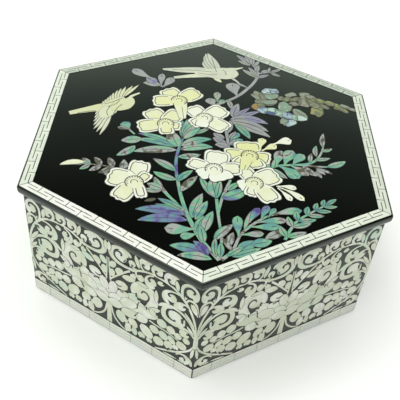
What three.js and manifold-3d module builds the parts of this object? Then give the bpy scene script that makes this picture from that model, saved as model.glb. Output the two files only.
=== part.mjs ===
// Hexagonal black lacquer box with a lift-off lid, inlaid with thin plates of shell.
// Millimetres, +Z up. The origin is the middle of the underside, with one corner to the front (-Y).
// The carcass fields are sunk by the thickness of the shell, so that the plates end flush.
import * as THREE from 'three';
import { mergeVertices } from 'three/addons/utils/BufferGeometryUtils.js';
import Module from 'manifold-3d';

const wasm = await Module();
wasm.setup();

// ------------------------------------------------------------ driving dimensions
const SIDES = 6;
const HEIGHT = 87.2;            // underside to the top of the closed lid
const BODY_CORNER = 118.8;      // axis to a vertical corner of the body
const WALL = 6;
const FLOOR = 6;
const LID_EDGE = 6.3;           // thickness of the lid at its edge
const LID_REACH = 2.4;          // lid beyond the body, square to a side
const LID_CORNER_ROUND = 1.4;
const NOSE_TOP = 1.1;           // small round at the top of the lid's edge
const NOSE_LOW = 3.4;           // large round that turns under to the seam
const LIP_DEPTH = 3;            // locating lip under the lid
const LIP_THICK = 4;
const LIP_PLAY = 0.5;

const SHELL = 0.4;              // thickness of an inlaid plate
const GAP = 0.3;                // clearance between a plate and what holds it
const BORDER_WIDTH = 6.6;
const BORDER_INSET = 1.3;       // lid's edge to the border, square to a side
const BAND_LOW = 0.6;
const BAND_HIGH = 8.8;
const FIELD_HIGH = 80;          // top of the scrollwork field

const FRET_REPEATS = 6;         // interlocking T pairs along one side
const FRET_LINE = 0.45;         // width of the dark line between the ribbons
const FRET_BAR = 14;            // length of the bar of a T
const BAND_JOINT = 30;          // spacing of the upright joints in the base band
const LEAF_SPREAD = 48;         // degrees between a stem and its leaves

const LACQUER = 0x14140f;
const BORDER_SHELL = 0xf0efe6;
const BAND_SHELL = 0xc4c8c0;
const SCROLL_SHELL = 0xc8cdb8;
const BLOSSOM_SHELL = 0xe2dca8;
const BIRD_SHELL = 0xd9d4b0;
const LEAF_SHELL = 0x5f9c8d;
const GREY_SHELL = 0x8e8a98;
const ROCK_SHELL = 0x7c8d92;

// ------------------------------------------------------------ derived dimensions
const TURN = (2 * Math.PI) / SIDES;
const HALF_TURN = TURN / 2;
const BODY_FLAT = BODY_CORNER * Math.cos(HALF_TURN);   // axis to the middle of a side
const LID_FLAT = BODY_FLAT + LID_REACH;
const LID_BOTTOM = HEIGHT - LID_EDGE;
const RIM = LID_BOTTOM - GAP;
const BORDER_FLAT = LID_FLAT - BORDER_INSET;
const POCKET = SHELL + GAP;
const FIELD_LOW = BAND_HIGH + GAP;
const CORNER_POST = 1;          // lacquer left between a side field and the corner
const FIELD_HALF = BODY_CORNER / 2 - CORNER_POST;

const point = (x, y) => new THREE.Vector2(x, y);
const lerp = THREE.MathUtils.lerp;
const radians = THREE.MathUtils.degToRad;

// ------------------------------------------------------------ solids and outlines
function solidOf(geometry) {
  const bare = geometry.clone();
  bare.deleteAttribute('normal');
  bare.deleteAttribute('uv');
  const merged = mergeVertices(bare, 1e-4);
  return new wasm.Manifold(new wasm.Mesh({
    numProp: 3,
    vertProperties: new Float32Array(merged.attributes.position.array),
    triVerts: new Uint32Array(merged.index.array),
  }));
}

function geometryOf(solid) {
  const mesh = solid.getMesh();
  const geometry = new THREE.BufferGeometry();
  geometry.setAttribute('position', new THREE.BufferAttribute(mesh.vertProperties, 3));
  geometry.setIndex(new THREE.BufferAttribute(mesh.triVerts, 1));
  geometry.computeVertexNormals();
  return geometry;
}

const joined = (solids) => solids.reduce((whole, solid) => whole.add(solid));
const cut = (solid, cutters) => cutters.reduce((rest, cutter) => rest.subtract(cutter), solid);

// One ring of a hexagon that has its corners rounded, or sharp where round is 0.
function hexRing(flat, round, z) {
  const steps = round > 0 ? [-HALF_TURN, 0, HALF_TURN] : [0];
  const reach = (flat - round) / Math.cos(HALF_TURN);
  const ring = [];
  for (let corner = 0; corner < SIDES; corner += 1) {
    const angle = corner * TURN - Math.PI / 2;
    for (const step of steps) {
      ring.push([
        reach * Math.cos(angle) + round * Math.cos(angle + step),
        reach * Math.sin(angle) + round * Math.sin(angle + step),
        z,
      ]);
    }
  }
  return ring;
}

// A solid through hexagonal rings; profile lists [flat, z] from the bottom up.
function hexSolid(profile, round = 0) {
  const rings = profile.map(([flat, z]) => hexRing(flat, round, z));
  const count = rings[0].length;
  const index = [];
  for (let level = 0; level + 1 < rings.length; level += 1) {
    for (let i = 0; i < count; i += 1) {
      const a = level * count + i;
      const b = level * count + ((i + 1) % count);
      index.push(a, b, b + count, a, b + count, a + count);
    }
  }
  const top = (rings.length - 1) * count;
  for (let i = 1; i + 1 < count; i += 1) {
    index.push(0, i + 1, i, top, top + i, top + i + 1);
  }
  const geometry = new THREE.BufferGeometry();
  geometry.setAttribute('position', new THREE.Float32BufferAttribute(rings.flat(2), 3));
  geometry.setIndex(index);
  return solidOf(geometry);
}

const hexPrism = (flat, low, high, round = 0) => hexSolid([[flat, low], [flat, high]], round);

// A flat plate between two heights from outlines that may overlap.
function plate(outlines, low, high) {
  return joined(outlines.map((outline) => {
    const shape = new THREE.Shape(outline);
    const flat = new THREE.ExtrudeGeometry(shape, { depth: high - low, bevelEnabled: false });
    return solidOf(flat.translate(0, 0, low));
  }));
}

// Turns a plate drawn as (along, up, outward) to stand on the side that faces +X.
const STAND = new THREE.Matrix4().makeBasis(
  new THREE.Vector3(0, 1, 0), new THREE.Vector3(0, 0, 1), new THREE.Vector3(1, 0, 0));

function onSide(outlines, outside, depth) {
  const flat = geometryOf(plate(outlines, outside - depth, outside));
  return flat.applyMatrix4(STAND);
}

const rectangle = (left, low, right, high) =>
  [point(left, low), point(right, low), point(right, high), point(left, high)];

// A leaf or a petal from its foot to its tip.
function leaf(x, y, length, width, degrees, grow = 0) {
  const angle = radians(degrees);
  const half = width / 2 + grow;
  const shape = [[-grow, 0], [0.3, -0.85], [0.65, -0.8], [1, 0], [0.65, 0.8], [0.3, 0.85]];
  return shape.map(([along, across]) => {
    const reach = along < 0 ? along : along * length + (along === 1 ? grow : 0);
    const off = across * half;
    return point(
      x + reach * Math.cos(angle) - off * Math.sin(angle),
      y + reach * Math.sin(angle) + off * Math.cos(angle));
  });
}

// A stem or a curl: a band along a smooth route that widens or narrows.
function stroke(route, startWidth, endWidth, steps = route.length - 1) {
  const curve = new THREE.SplineCurve(route.map(([x, y]) => point(x, y)));
  const left = [];
  const right = [];
  for (let step = 0; step <= steps; step += 1) {
    const t = step / steps;
    const middle = curve.getPoint(t);
    const along = curve.getTangent(t);
    const half = lerp(startWidth, endWidth, t) / 2;
    left.push(point(middle.x - along.y * half, middle.y + along.x * half));
    right.unshift(point(middle.x + along.y * half, middle.y - along.x * half));
  }
  return left.concat(right).reverse();
}

// A stem with leaves left and right in turn, and one at its tip.
function spray({ route, width, leaves, from = 0.3, length, leafWidth }) {
  const curve = new THREE.SplineCurve(route.map(([x, y]) => point(x, y)));
  const outlines = [stroke(route, width, width * 0.6)];
  for (let i = 0; i < leaves; i += 1) {
    const t = lerp(from, 0.94, leaves > 1 ? i / (leaves - 1) : 1);
    const foot = curve.getPoint(t);
    const along = curve.getTangent(t);
    const side = i % 2 === 0 ? 1 : -1;
    const heading = THREE.MathUtils.radToDeg(Math.atan2(along.y, along.x)) + side * LEAF_SPREAD;
    outlines.push(leaf(foot.x, foot.y, length, leafWidth, heading));
  }
  const tip = curve.getPoint(1);
  const end = curve.getTangent(1);
  const heading = THREE.MathUtils.radToDeg(Math.atan2(end.y, end.x));
  outlines.push(leaf(tip.x - end.x, tip.y - end.y, length, leafWidth, heading));
  return outlines;
}

// A flower of rounded petals, each with a shallow notch, as one outline.
function blossom(x, y, width, degrees, petals = 5, grow = 0) {
  const edge = [0.68, 0.98, 0.98];
  const outline = [];
  for (let i = 0; i < petals * edge.length; i += 1) {
    const angle = radians(degrees) + (i / (petals * edge.length)) * 2 * Math.PI;
    const reach = (edge[i % edge.length] * width) / 2 + grow;
    outline.push(point(x + reach * Math.cos(angle), y + reach * Math.sin(angle)));
  }
  return outline;
}

// ------------------------------------------------------------ scene graph
const box = new THREE.Group();

function addPiece(name, geometry, color, roughness, metalness, turn = 0) {
  const material = new THREE.MeshStandardMaterial({ color, roughness, metalness });
  const mesh = new THREE.Mesh(geometry, material);
  mesh.name = name;
  mesh.rotation.z = turn;
  box.add(mesh);
}

const addLacquer = (name, solid) => addPiece(name, geometryOf(solid), LACQUER, 0.12, 0);
const addShell = (name, geometry, color, turn) => addPiece(name, geometry, color, 0.25, 0.1, turn);

function eachSide(make) {
  for (let side = 0; side < SIDES; side += 1) {
    make(side + 1, side * TURN);
  }
}

// ------------------------------------------------------------ body
function bodySolid() {
  const field = rectangle(-FIELD_HALF, FIELD_LOW, FIELD_HALF, FIELD_HIGH);
  const fieldCutter = onSide([field], BODY_FLAT + 1, POCKET + 1);
  const cutters = [hexPrism(BODY_FLAT - WALL, FLOOR, RIM + 1)];
  eachSide((number, turn) => {
    const turned = fieldCutter.clone().applyMatrix4(new THREE.Matrix4().makeRotationZ(turn));
    cutters.push(solidOf(turned));
  });
  const bandSpace = hexPrism(BODY_FLAT + 1, BAND_LOW - GAP, BAND_HIGH + GAP)
    .subtract(hexPrism(BODY_FLAT - POCKET, 0, BAND_HIGH + 1));
  cutters.push(bandSpace);
  return cut(hexPrism(BODY_FLAT, 0, RIM), cutters);
}

// ------------------------------------------------------------ lid
function lidProfile() {
  const steps = 3;
  const profile = [];
  for (let i = 0; i <= steps; i += 1) {
    const angle = (i / steps) * (Math.PI / 2);
    profile.push([
      LID_FLAT - LID_REACH * (1 - Math.sin(angle)),
      LID_BOTTOM + NOSE_LOW * (1 - Math.cos(angle)),
    ]);
  }
  for (let i = 0; i <= steps; i += 1) {
    const angle = (i / steps) * (Math.PI / 2);
    profile.push([
      LID_FLAT - NOSE_TOP * (1 - Math.cos(angle)),
      HEIGHT - NOSE_TOP * (1 - Math.sin(angle)),
    ]);
  }
  return profile;
}

function lidSolid() {
  const lipFlat = BODY_FLAT - WALL - LIP_PLAY;
  const lip = hexPrism(lipFlat, LID_BOTTOM - LIP_DEPTH, LID_BOTTOM + 1)
    .subtract(hexPrism(lipFlat - LIP_THICK, LID_BOTTOM - LIP_DEPTH - 1, LID_BOTTOM));
  const panel = hexPrism(BORDER_FLAT + GAP, HEIGHT - POCKET, HEIGHT + 1);
  return hexSolid(lidProfile(), LID_CORNER_ROUND).add(lip).subtract(panel);
}

// ------------------------------------------------------------ fret border
// One mitred strip along the side that faces +X, drawn as (along Y, out from the axis X).
// T-shaped cuts enter it from both edges in turn and leave a ribbon that winds between them.
function tCut(middle, edge, inward, depth) {
  const line = FRET_LINE / 2;
  const bar = FRET_BAR / 2;
  const at = (along, into) => point(middle + along, edge + inward * into);
  return [
    at(-line, 0), at(-line, depth - line), at(-bar, depth - line), at(-bar, depth + line),
    at(bar, depth + line), at(bar, depth - line), at(line, depth - line), at(line, 0),
  ];
}

function fretOutline() {
  const slope = Math.tan(HALF_TURN);
  const inner = BORDER_FLAT - BORDER_WIDTH;
  const third = BORDER_WIDTH / 3;
  const pitch = ((BORDER_FLAT + inner) * slope) / FRET_REPEATS;
  const line = FRET_LINE / 2;
  const bar = FRET_BAR / 2;
  const mitre = (flat) => flat * slope - line;
  const outline = [point(-mitre(BORDER_FLAT), BORDER_FLAT)];
  for (let i = 1; i < FRET_REPEATS; i += 1) {
    outline.push(...tCut((i - FRET_REPEATS / 2) * pitch, BORDER_FLAT, -1, 2 * third));
  }
  outline.push(point(mitre(BORDER_FLAT), BORDER_FLAT));
  const cornerCut = [
    point(mitre(inner + third + line), inner + third + line),
    point(mitre(inner + third) - bar, inner + third + line),
    point(mitre(inner + third) - bar, inner + third - line),
    point(mitre(inner + third - line), inner + third - line),
  ];
  outline.push(...cornerCut, point(mitre(inner), inner));
  for (let i = FRET_REPEATS - 1; i >= 0; i -= 1) {
    const middle = (i + 0.5 - FRET_REPEATS / 2) * pitch;
    outline.push(...tCut(middle, inner, 1, 2 * third).reverse());
  }
  outline.push(point(-mitre(inner), inner));
  outline.push(...cornerCut.map(({ x, y }) => point(-x, y)).reverse());
  return outline;
}

function fretStrip() {
  const turned = fretOutline().map(({ x, y }) => point(y, -x));
  return geometryOf(plate([turned], HEIGHT - SHELL, HEIGHT));
}

// ------------------------------------------------------------ base band
function baseBand() {
  const slope = Math.tan(HALF_TURN);
  const half = BODY_FLAT * slope - POCKET;
  const face = onSide([rectangle(-half, BAND_LOW, half, BAND_HIGH)], BODY_FLAT, SHELL);
  const joints = [];
  const count = Math.floor(half / BAND_JOINT);
  for (let i = -count; i <= count; i += 1) {
    const middle = i * BAND_JOINT;
    joints.push(rectangle(middle - FRET_LINE / 2, 0, middle + FRET_LINE / 2, BAND_HIGH + 1));
  }
  const grooves = onSide(joints, BODY_FLAT + 1, 1 + SHELL / 2);
  return geometryOf(solidOf(face).subtract(solidOf(grooves)));
}

// ------------------------------------------------------------ scrollwork of a side
// Drawn as (across from the middle, up from the underside); the left half mirrors the right.
const FLOWER_UP = 35;
const FLOWER_STRETCH = 1.7;
const VINES = [
  // route, width at each end
  [[[57.2, 26], [57, 44], [51, 63], [37, 71.6], [22, 67.5], [9, 56], [0, 48]], 1.8, 1.5],
  [[[57.2, 26.5], [49, 16.5], [35, 11]], 1.6, 1.6],
  [[[24, 68.5], [10, 65], [4, 71], [9, 77.4], [16.5, 75], [12.5, 70.5]], 1.5, 4.2],
  [[[20, 37], [32.5, 46], [29, 58.5], [19, 58.5], [17.5, 49.5], [25, 49.5]], 2, 4.8],
  [[[57, 44], [47.5, 55.5], [37.5, 50], [40, 40], [49.5, 42], [46.5, 48.5]], 1.6, 4.6],
  [[[51, 63], [49.5, 73], [54.2, 76.5], [55.4, 71]], 1.3, 2.6],
];

function sideScroll() {
  const right = VINES.map((vine) => stroke(...vine));
  const left = right.map((outline) => outline.map(({ x, y }) => point(-x, y)).reverse());
  const flower = blossom(0, 0, 29, 54).map(({ x, y }) => point(x * FLOWER_STRETCH, y + FLOWER_UP));
  const stalk = stroke([[0, FIELD_LOW + GAP], [0, 68]], 3.6, 1.6);
  return onSide([flower, stalk, ...right, ...left], BODY_FLAT, SHELL);
}

// ------------------------------------------------------------ flowers and birds on the lid
const BLOSSOMS = [
  // across, back, width, turn
  [-24.5, 37.5, 28, 14],
  [-2.5, 18.5, 27, 50],
  [-31.5, 9.5, 27, 30],
  [26.5, -13.5, 23, 8],
  [5.5, -28.5, 27, 62],
  [32.5, -42, 27, 40],
  [-42.5, -49.5, 28, 22],
];
const SPRAYS = {
  main_spray: {
    route: [[11, -99], [-4, -76], [-14, -45], [-17, -14], [-16, -2]],
    width: 2, leaves: 6, from: 0.2, length: 19, leafWidth: 6,
  },
  left_spray: { route: [[-22, -20], [-36, -14], [-50, -14]], width: 1.6, leaves: 3, length: 15, leafWidth: 6 },
  middle_spray: { route: [[13, -96], [8, -66], [9, -46]], width: 1.6, leaves: 3, length: 16, leafWidth: 6 },
  low_right_spray: {
    route: [[17, -93], [36, -76], [56, -66], [70, -52]],
    width: 1.6, leaves: 5, length: 15, leafWidth: 6,
  },
  right_spray: { route: [[42, -30], [56, -18], [67, 2]], width: 1.5, leaves: 4, length: 13, leafWidth: 5 },
  far_right_spray: { route: [[58, -38], [71, -29], [82, -20]], width: 1.5, leaves: 2, length: 12, leafWidth: 5 },
  left_sprig: { route: [[-60, -46], [-70, -40]], width: 1.4, leaves: 2, length: 11, leafWidth: 4.4 },
};
const GREY_SPRAYS = {
  back_branch: {
    route: [[9, 36], [21, 49], [29, 66], [28, 84]],
    width: 1.6, leaves: 3, from: 0.78, length: 12, leafWidth: 4.4,
  },
  back_sprig: { route: [[-36, 58], [-46, 62], [-54, 66]], width: 1.5, leaves: 2, length: 10, leafWidth: 5 },
};
const BLADES = [78, 54, 32, 10, -14];      // headings of the sword leaves

// A flying bird that heads along +X before its turn: body, tail and two wings.
function bird(x, y, size, degrees, farWing, nearWing, grow = 0) {
  const parts = [
    leaf(-0.42, 0, 1.04, 0.34, 4), leaf(-1.05, -0.02, 0.9, 0.2, 2),
    leaf(-0.05, 0.05, 0.95, 0.32, farWing), leaf(0, -0.05, 0.85, 0.3, nearWing),
  ];
  const turn = radians(degrees);
  const middle = point(0, 0);
  return parts.map((part) => part.map((spot) => {
    const scaled = spot.multiplyScalar(size);
    const grown = scaled.length() > 0 ? scaled.setLength(scaled.length() + grow) : scaled;
    return grown.rotateAround(middle, turn).add(point(x, y));
  }));
}

const BIRDS = [
  // across, back, half length, heading, far wing, near wing
  [-62, 22, 22, 28, 34, -128],
  [-2, 71, 22, 16, 98, 152],
];

function rockOutlines(grow = 0) {
  const stones = [[37, 50, 24], [50, 33, 28], [66, 44, 26], [81, 43, 16]];
  return stones.map(([x, y, width], i) => blossom(x, y, width, i * 25, 3, grow));
}

function lidInlay() {
  const low = HEIGHT - SHELL;
  const taken = [];
  const reserve = (outlines) => taken.push(plate(outlines, low - 1, HEIGHT + 1));
  const add = (name, outlines, color) => {
    addShell(name, geometryOf(cut(plate(outlines, low, HEIGHT), taken)), color, 0);
  };
  BLOSSOMS.forEach(([x, y, width, turn], i) => {
    add(`blossom_${i + 1}`, [blossom(x, y, width, turn)], BLOSSOM_SHELL);
    reserve([blossom(x, y, width, turn, 5, GAP)]);
  });
  BIRDS.forEach((placing, i) => {
    add(`bird_${i + 1}`, bird(...placing), BIRD_SHELL);
    reserve(bird(...placing, GAP));
  });
  add('rock', rockOutlines(), ROCK_SHELL);
  reserve(rockOutlines(GAP));
  Object.entries(SPRAYS).forEach(([name, sizes]) => add(name, spray(sizes), LEAF_SHELL));
  Object.entries(GREY_SPRAYS).forEach(([name, sizes]) => add(name, spray(sizes), GREY_SHELL));
  add('sword_leaves', BLADES.map((heading) => leaf(13, 16, 24, 5, heading)), GREY_SHELL);
}

// ------------------------------------------------------------ assembly
addLacquer('body', bodySolid());
addLacquer('lid', lidSolid());

const fret = fretStrip();
const band = baseBand();
const scroll = sideScroll();
eachSide((number, turn) => addShell(`lid_border_${number}`, fret, BORDER_SHELL, turn));
eachSide((number, turn) => addShell(`base_band_${number}`, band, BAND_SHELL, turn));
eachSide((number, turn) => addShell(`side_scroll_${number}`, scroll, SCROLL_SHELL, turn));
lidInlay();

export default box;
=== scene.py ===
"""The dressed look of a hexagonal lacquer box inlaid with shell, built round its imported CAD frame.

Meshes are in metres, in the frame's own axes. Layouts are drawn in millimetres: on the lid as
(across, back) from its middle, on a side as (across from the middle, up from the underside).
"""

import math
import random

import bmesh
import bpy
from mathutils import Matrix, Vector


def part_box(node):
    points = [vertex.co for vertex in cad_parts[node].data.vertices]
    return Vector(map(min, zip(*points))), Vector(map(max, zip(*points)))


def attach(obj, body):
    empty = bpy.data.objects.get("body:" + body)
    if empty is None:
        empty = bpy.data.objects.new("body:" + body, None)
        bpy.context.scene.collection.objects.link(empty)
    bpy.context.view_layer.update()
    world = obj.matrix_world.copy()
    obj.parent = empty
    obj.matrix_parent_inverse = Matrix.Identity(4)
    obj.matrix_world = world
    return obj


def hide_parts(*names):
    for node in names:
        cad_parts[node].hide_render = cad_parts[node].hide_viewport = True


bl_info = {
    "name": "Shell-inlaid lacquer box",
    "version": (1, 0, 0),
    "blender": (4, 5, 0),
    "location": "View3D > Sidebar > Lacquer Box",
    "description": "Builds the lacquer, the shell inlay and the studio of a hexagonal box",
    "category": "Object",
}

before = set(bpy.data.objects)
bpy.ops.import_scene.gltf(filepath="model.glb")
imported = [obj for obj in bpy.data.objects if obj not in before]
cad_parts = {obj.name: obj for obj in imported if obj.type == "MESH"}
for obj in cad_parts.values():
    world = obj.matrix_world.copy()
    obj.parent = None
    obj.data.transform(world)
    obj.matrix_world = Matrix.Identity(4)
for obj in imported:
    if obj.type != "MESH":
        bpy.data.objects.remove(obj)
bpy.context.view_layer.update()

MM = 0.001
SIDES = 6
HALF_TURN = math.pi / SIDES
CORNER_TURN = 360 / SIDES    # degrees from one corner to the next
NUMBERS = range(1, SIDES + 1)


def span(node):
    """The lowest and highest corner of a CAD node, in millimetres."""
    low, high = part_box(node)
    return low / MM, high / MM


_, BODY_HIGH = span("body")
LID_LOW, LID_HIGH = span("lid")
BORDER_LOW, BORDER_HIGH = span("lid_border_1")
BAND_LOW, BAND_HIGH = span("base_band_1")
BODY_FLAT = BODY_HIGH.x  # axis to the middle of a side
HALF_SIDE = BODY_FLAT * math.tan(HALF_TURN)
LID_FLAT = LID_HIGH.x
RIM = BODY_HIGH.z
TOP = LID_HIGH.z


# ---------------------------------------------------------------- sizes and colours
def millimetres(name, description, default):
    """A length property whose default is given in millimetres."""
    return bpy.props.FloatProperty(
        name=name, description=description, default=default * MM,
        min=0, subtype="DISTANCE", unit="LENGTH", precision=5)


def colour(name, description, default):
    return bpy.props.FloatVectorProperty(
        name=name, description=description, default=default,
        size=3, min=0, max=1, subtype="COLOR")


class LacquerBoxSizes(bpy.types.PropertyGroup):
    """Lengths that shape the box."""

    wall: millimetres("Wall", "Thickness of the body's walls", 6)
    floor: millimetres("Floor", "Thickness of the body's floor", 6)
    lid_edge: millimetres("Lid edge", "Thickness of the lid at its edge", 6.3)
    nose_low: millimetres("Lower round", "Round that turns the lid's edge under to the seam", 3.4)
    nose_top: millimetres("Upper round", "Small round along the top of the lid's edge", 1.1)
    lid_corner: millimetres("Lid corner", "Round of the lid's six corners", 1.4)
    body_corner: millimetres("Body corner", "Round of the body's six upright corners", 0.7)
    proud: millimetres("Inlay height", "Height of the shell above the lacquer round it", 0.3)
    ledge: millimetres("Ledge", "Lacquer this far under the fret and the foot band", 0.08)
    fret_line: millimetres("Fret line", "Dark line between the ribbons of the fret", 0.45)
    fret_bar: millimetres("Fret bar", "Length of the bar of a T in the fret", 14)
    tile: millimetres("Foot tile", "Length of a shell tile in the band round the foot", 15.6)
    engraving: millimetres("Engraving", "Width of the engraved lines", 0.32)


class LacquerBoxColours(bpy.types.PropertyGroup):
    """Base colours of the lacquer and the shells."""

    lacquer: colour("Lacquer", "Black lacquer", (0.002, 0.0024, 0.0019))
    border: colour("Border shell", "White shell of the lid's fret", (0.82, 0.82, 0.78))
    scroll: colour("Scroll shell", "Pale shell of the sides", (0.54, 0.56, 0.47))
    band: colour("Band shell", "Grey-white shell round the foot", (0.64, 0.65, 0.61))
    blossom: colour("Blossom shell", "Cream shell of the flowers", (0.74, 0.74, 0.47))
    bird: colour("Bird shell", "Cream shell of the birds", (0.62, 0.63, 0.45))
    leaf: colour("Leaf shell", "Blue-green shell of the leaves", (0.185, 0.395, 0.315))
    grey: colour("Grey shell", "Violet-grey shell at the back", (0.315, 0.32, 0.325))
    rock: colour("Rock shell", "Mixed shell of the rock", (0.255, 0.262, 0.265))
    engraving: colour("Engraving", "Dark of the engraved lines", (0.02, 0.018, 0.014))


def sizes():
    return bpy.context.scene.lacquer_box_sizes


def colours():
    return bpy.context.scene.lacquer_box_colours


# ---------------------------------------------------------------- drawing in the flat
LEAF_END = 0.06         # width of a leaf's very tip, in millimetres
BLADE_END = 0.08


def smooth(route, steps=4, closed=False):
    """Points along a smooth curve through the route's points."""
    spots = [Vector(spot) for spot in route]
    if closed:
        ends = [spots[-1], *spots, spots[0], spots[1]]
    else:
        ends = [2 * spots[0] - spots[1], *spots, 2 * spots[-1] - spots[-2]]
    line = []
    for before, start, end, after in zip(ends, ends[1:], ends[2:], ends[3:]):
        for step in range(steps):
            t = step / steps
            line.append(0.5 * (
                2 * start + (end - before) * t
                + (2 * before - 5 * start + 4 * end - after) * t * t
                + (3 * start - before - 3 * end + after) * t ** 3))
    if not closed:
        line.append(spots[-1])
    return line


def ray(degrees, length=1.0):
    angle = math.radians(degrees)
    return Vector((length * math.cos(angle), length * math.sin(angle)))


def leaf(x, y, heading, length, width, blunt=0.7, steps=9):
    """A leaf from its foot to its tip; a small blunt gives a full, round leaf."""
    spot = Vector((x, y))
    line = []
    for i in range(steps + 1):
        t = i / steps
        line.append((spot.x, spot.y, max(width * math.sin(math.pi * t) ** blunt, LEAF_END)))
        spot = spot + ray(heading, length / steps)
    return line


def widened(line, more):
    """The same line with each of its widths made greater."""
    return [(x, y, width + more) for x, y, width in line]


def stroke(points, width):
    """A line of one width."""
    return [(p[0], p[1], width) for p in points]


def mirrored(line):
    return [(-x, y, width) for x, y, width in line]


# ---------------------------------------------------------------- meshes
def add_object(name, mesh):
    piece = bpy.data.objects.new(name, mesh)
    bpy.context.scene.collection.objects.link(piece)
    return piece


def finish_piece(piece, nodes):
    """Ties a finished piece to the frame."""
    for node in nodes:
        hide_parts(node)
    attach(piece, "root")


CLIMB = 0.004           # rise of a band along its length, so that a curl isn't level with itself


class Bands:
    """Flat bands drawn as centre lines whose points carry a width, a tone and a height."""

    def __init__(self):
        self.spots, self.edges = [], []
        self.values = {"width": [], "tone": [], "lift": []}

    def add(self, line, tone=0.5, lift=0.0, tone_end=None):
        first = len(self.spots)
        last = len(line) - 1
        end = tone if tone_end is None else tone_end
        for i, (x, y, width) in enumerate(line):
            self.spots.append((x * MM, y * MM, 0))
            self.values["width"].append(width * MM)
            self.values["tone"].append(tone + (end - tone) * i / last)
            self.values["lift"].append((lift + CLIMB * i / last) * MM)
        self.edges += [(i, i + 1) for i in range(first, first + last)]

    def mesh(self, name):
        mesh = bpy.data.meshes.new(name)
        mesh.from_pydata(self.spots, self.edges, [])
        for key, values in self.values.items():
            mesh.attributes.new(key, "FLOAT", "POINT").data.foreach_set("value", values)
        return mesh


SUNK = 0.05             # how far the cut pieces reach under the lacquer, in millimetres


class Plates:
    """Closed flat plates cut from outlines, each with its own tone and height."""

    def __init__(self):
        self.shell = bmesh.new()
        self.tone = self.shell.verts.layers.float.new("tone")
        self.depth = sizes().proud / MM + SUNK

    def add(self, outline, tone=0.5, top=0.0):
        area = sum(a[0] * b[1] - b[0] * a[1] for a, b in zip(outline, outline[1:] + outline[:1]))
        ring = list(outline) if area > 0 else list(reversed(outline))
        loops = []
        for height in (top - self.depth, top):
            loop = [self.shell.verts.new((p[0] * MM, p[1] * MM, height * MM)) for p in ring]
            for spot in loop:
                spot[self.tone] = tone
            loops.append(loop)
        low, high = loops
        self.shell.faces.new(list(reversed(low)))
        self.shell.faces.new(high)
        for i in range(len(ring)):
            j = (i + 1) % len(ring)
            self.shell.faces.new((low[i], low[j], high[j], high[i]))

    def mesh(self, name):
        mesh = bpy.data.meshes.new(name)
        self.shell.to_mesh(mesh)
        self.shell.free()
        return mesh


def hex_ring(flat, corner, z, steps=5):
    """One ring of a hexagon with rounded corners, in millimetres."""
    reach = (flat - corner) / math.cos(HALF_TURN)
    ring = []
    for number in range(SIDES):
        middle = number * CORNER_TURN - 90
        for step in range(steps + 1):
            turn = middle + (step / steps - 0.5) * CORNER_TURN
            spot = ray(middle, reach) + ray(turn, corner)
            ring.append((spot.x * MM, spot.y * MM, z * MM))
    return ring


def hex_shell(name, profile):
    """A closed solid through hexagonal rings; profile lists (flat, corner, z) once round."""
    shell = bmesh.new()
    rings = [[shell.verts.new(p) for p in hex_ring(*step)] for step in profile]
    for low, high in zip(rings, rings[1:]):
        for i in range(len(low)):
            j = (i + 1) % len(low)
            shell.faces.new((low[i], low[j], high[j], high[i]))
    shell.faces.new(list(reversed(rings[0])))
    shell.faces.new(rings[-1])
    mesh = bpy.data.meshes.new(name)
    shell.to_mesh(mesh)
    shell.free()
    return add_object(name, mesh)


def round_steps(flat, z, radius, start, end, corner, steps=5):
    """Profile steps along an arc in the (outward, up) plane, from start to end degrees."""
    arc = []
    for step in range(steps + 1):
        spot = ray(start + (end - start) * step / steps, radius)
        arc.append((flat + spot.x, corner, z + spot.y))
    return arc


SHARP_EDGE = 35         # degrees past which an edge stays sharp


def shade(piece):
    """Smooth shading that keeps the sharp edges."""
    piece.data.polygons.foreach_set("use_smooth", [True] * len(piece.data.polygons))
    piece.data.set_sharp_from_angle(angle=math.radians(SHARP_EDGE))


# ---------------------------------------------------------------- node helpers
class Tree:
    """Short calls for building a node tree."""

    def __init__(self, tree):
        self.tree = tree

    def node(self, kind, values=None, **settings):
        made = self.tree.nodes.new(kind)
        for key, value in settings.items():
            setattr(made, key, value)
        for key, value in (values or {}).items():
            if isinstance(value, bpy.types.NodeSocket):
                self.tree.links.new(value, made.inputs[key])
            else:
                made.inputs[key].default_value = value
        return made

    def math(self, operation, first, second=None):
        values = {0: first}
        if second is not None:
            values[1] = second
        kind = "ShaderNodeMath"
        return self.node(kind, values, operation=operation).outputs[0]


def geometry_tree(name, inputs):
    """A geometry tree with the usual geometry sockets and the named inputs."""
    tree = bpy.data.node_groups.new(name, "GeometryNodeTree")
    tree.interface.new_socket("Geometry", in_out="INPUT", socket_type="NodeSocketGeometry")
    tree.interface.new_socket("Geometry", in_out="OUTPUT", socket_type="NodeSocketGeometry")
    for label, kind in inputs:
        tree.interface.new_socket(label, in_out="INPUT", socket_type=kind)
    start = tree.nodes.new("NodeGroupInput")
    end = tree.nodes.new("NodeGroupOutput")
    return tree, Tree(tree), start.outputs, end.inputs["Geometry"]


LENGTH, WHOLE, FINISH = "NodeSocketFloat", "NodeSocketInt", "NodeSocketMaterial"


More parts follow.
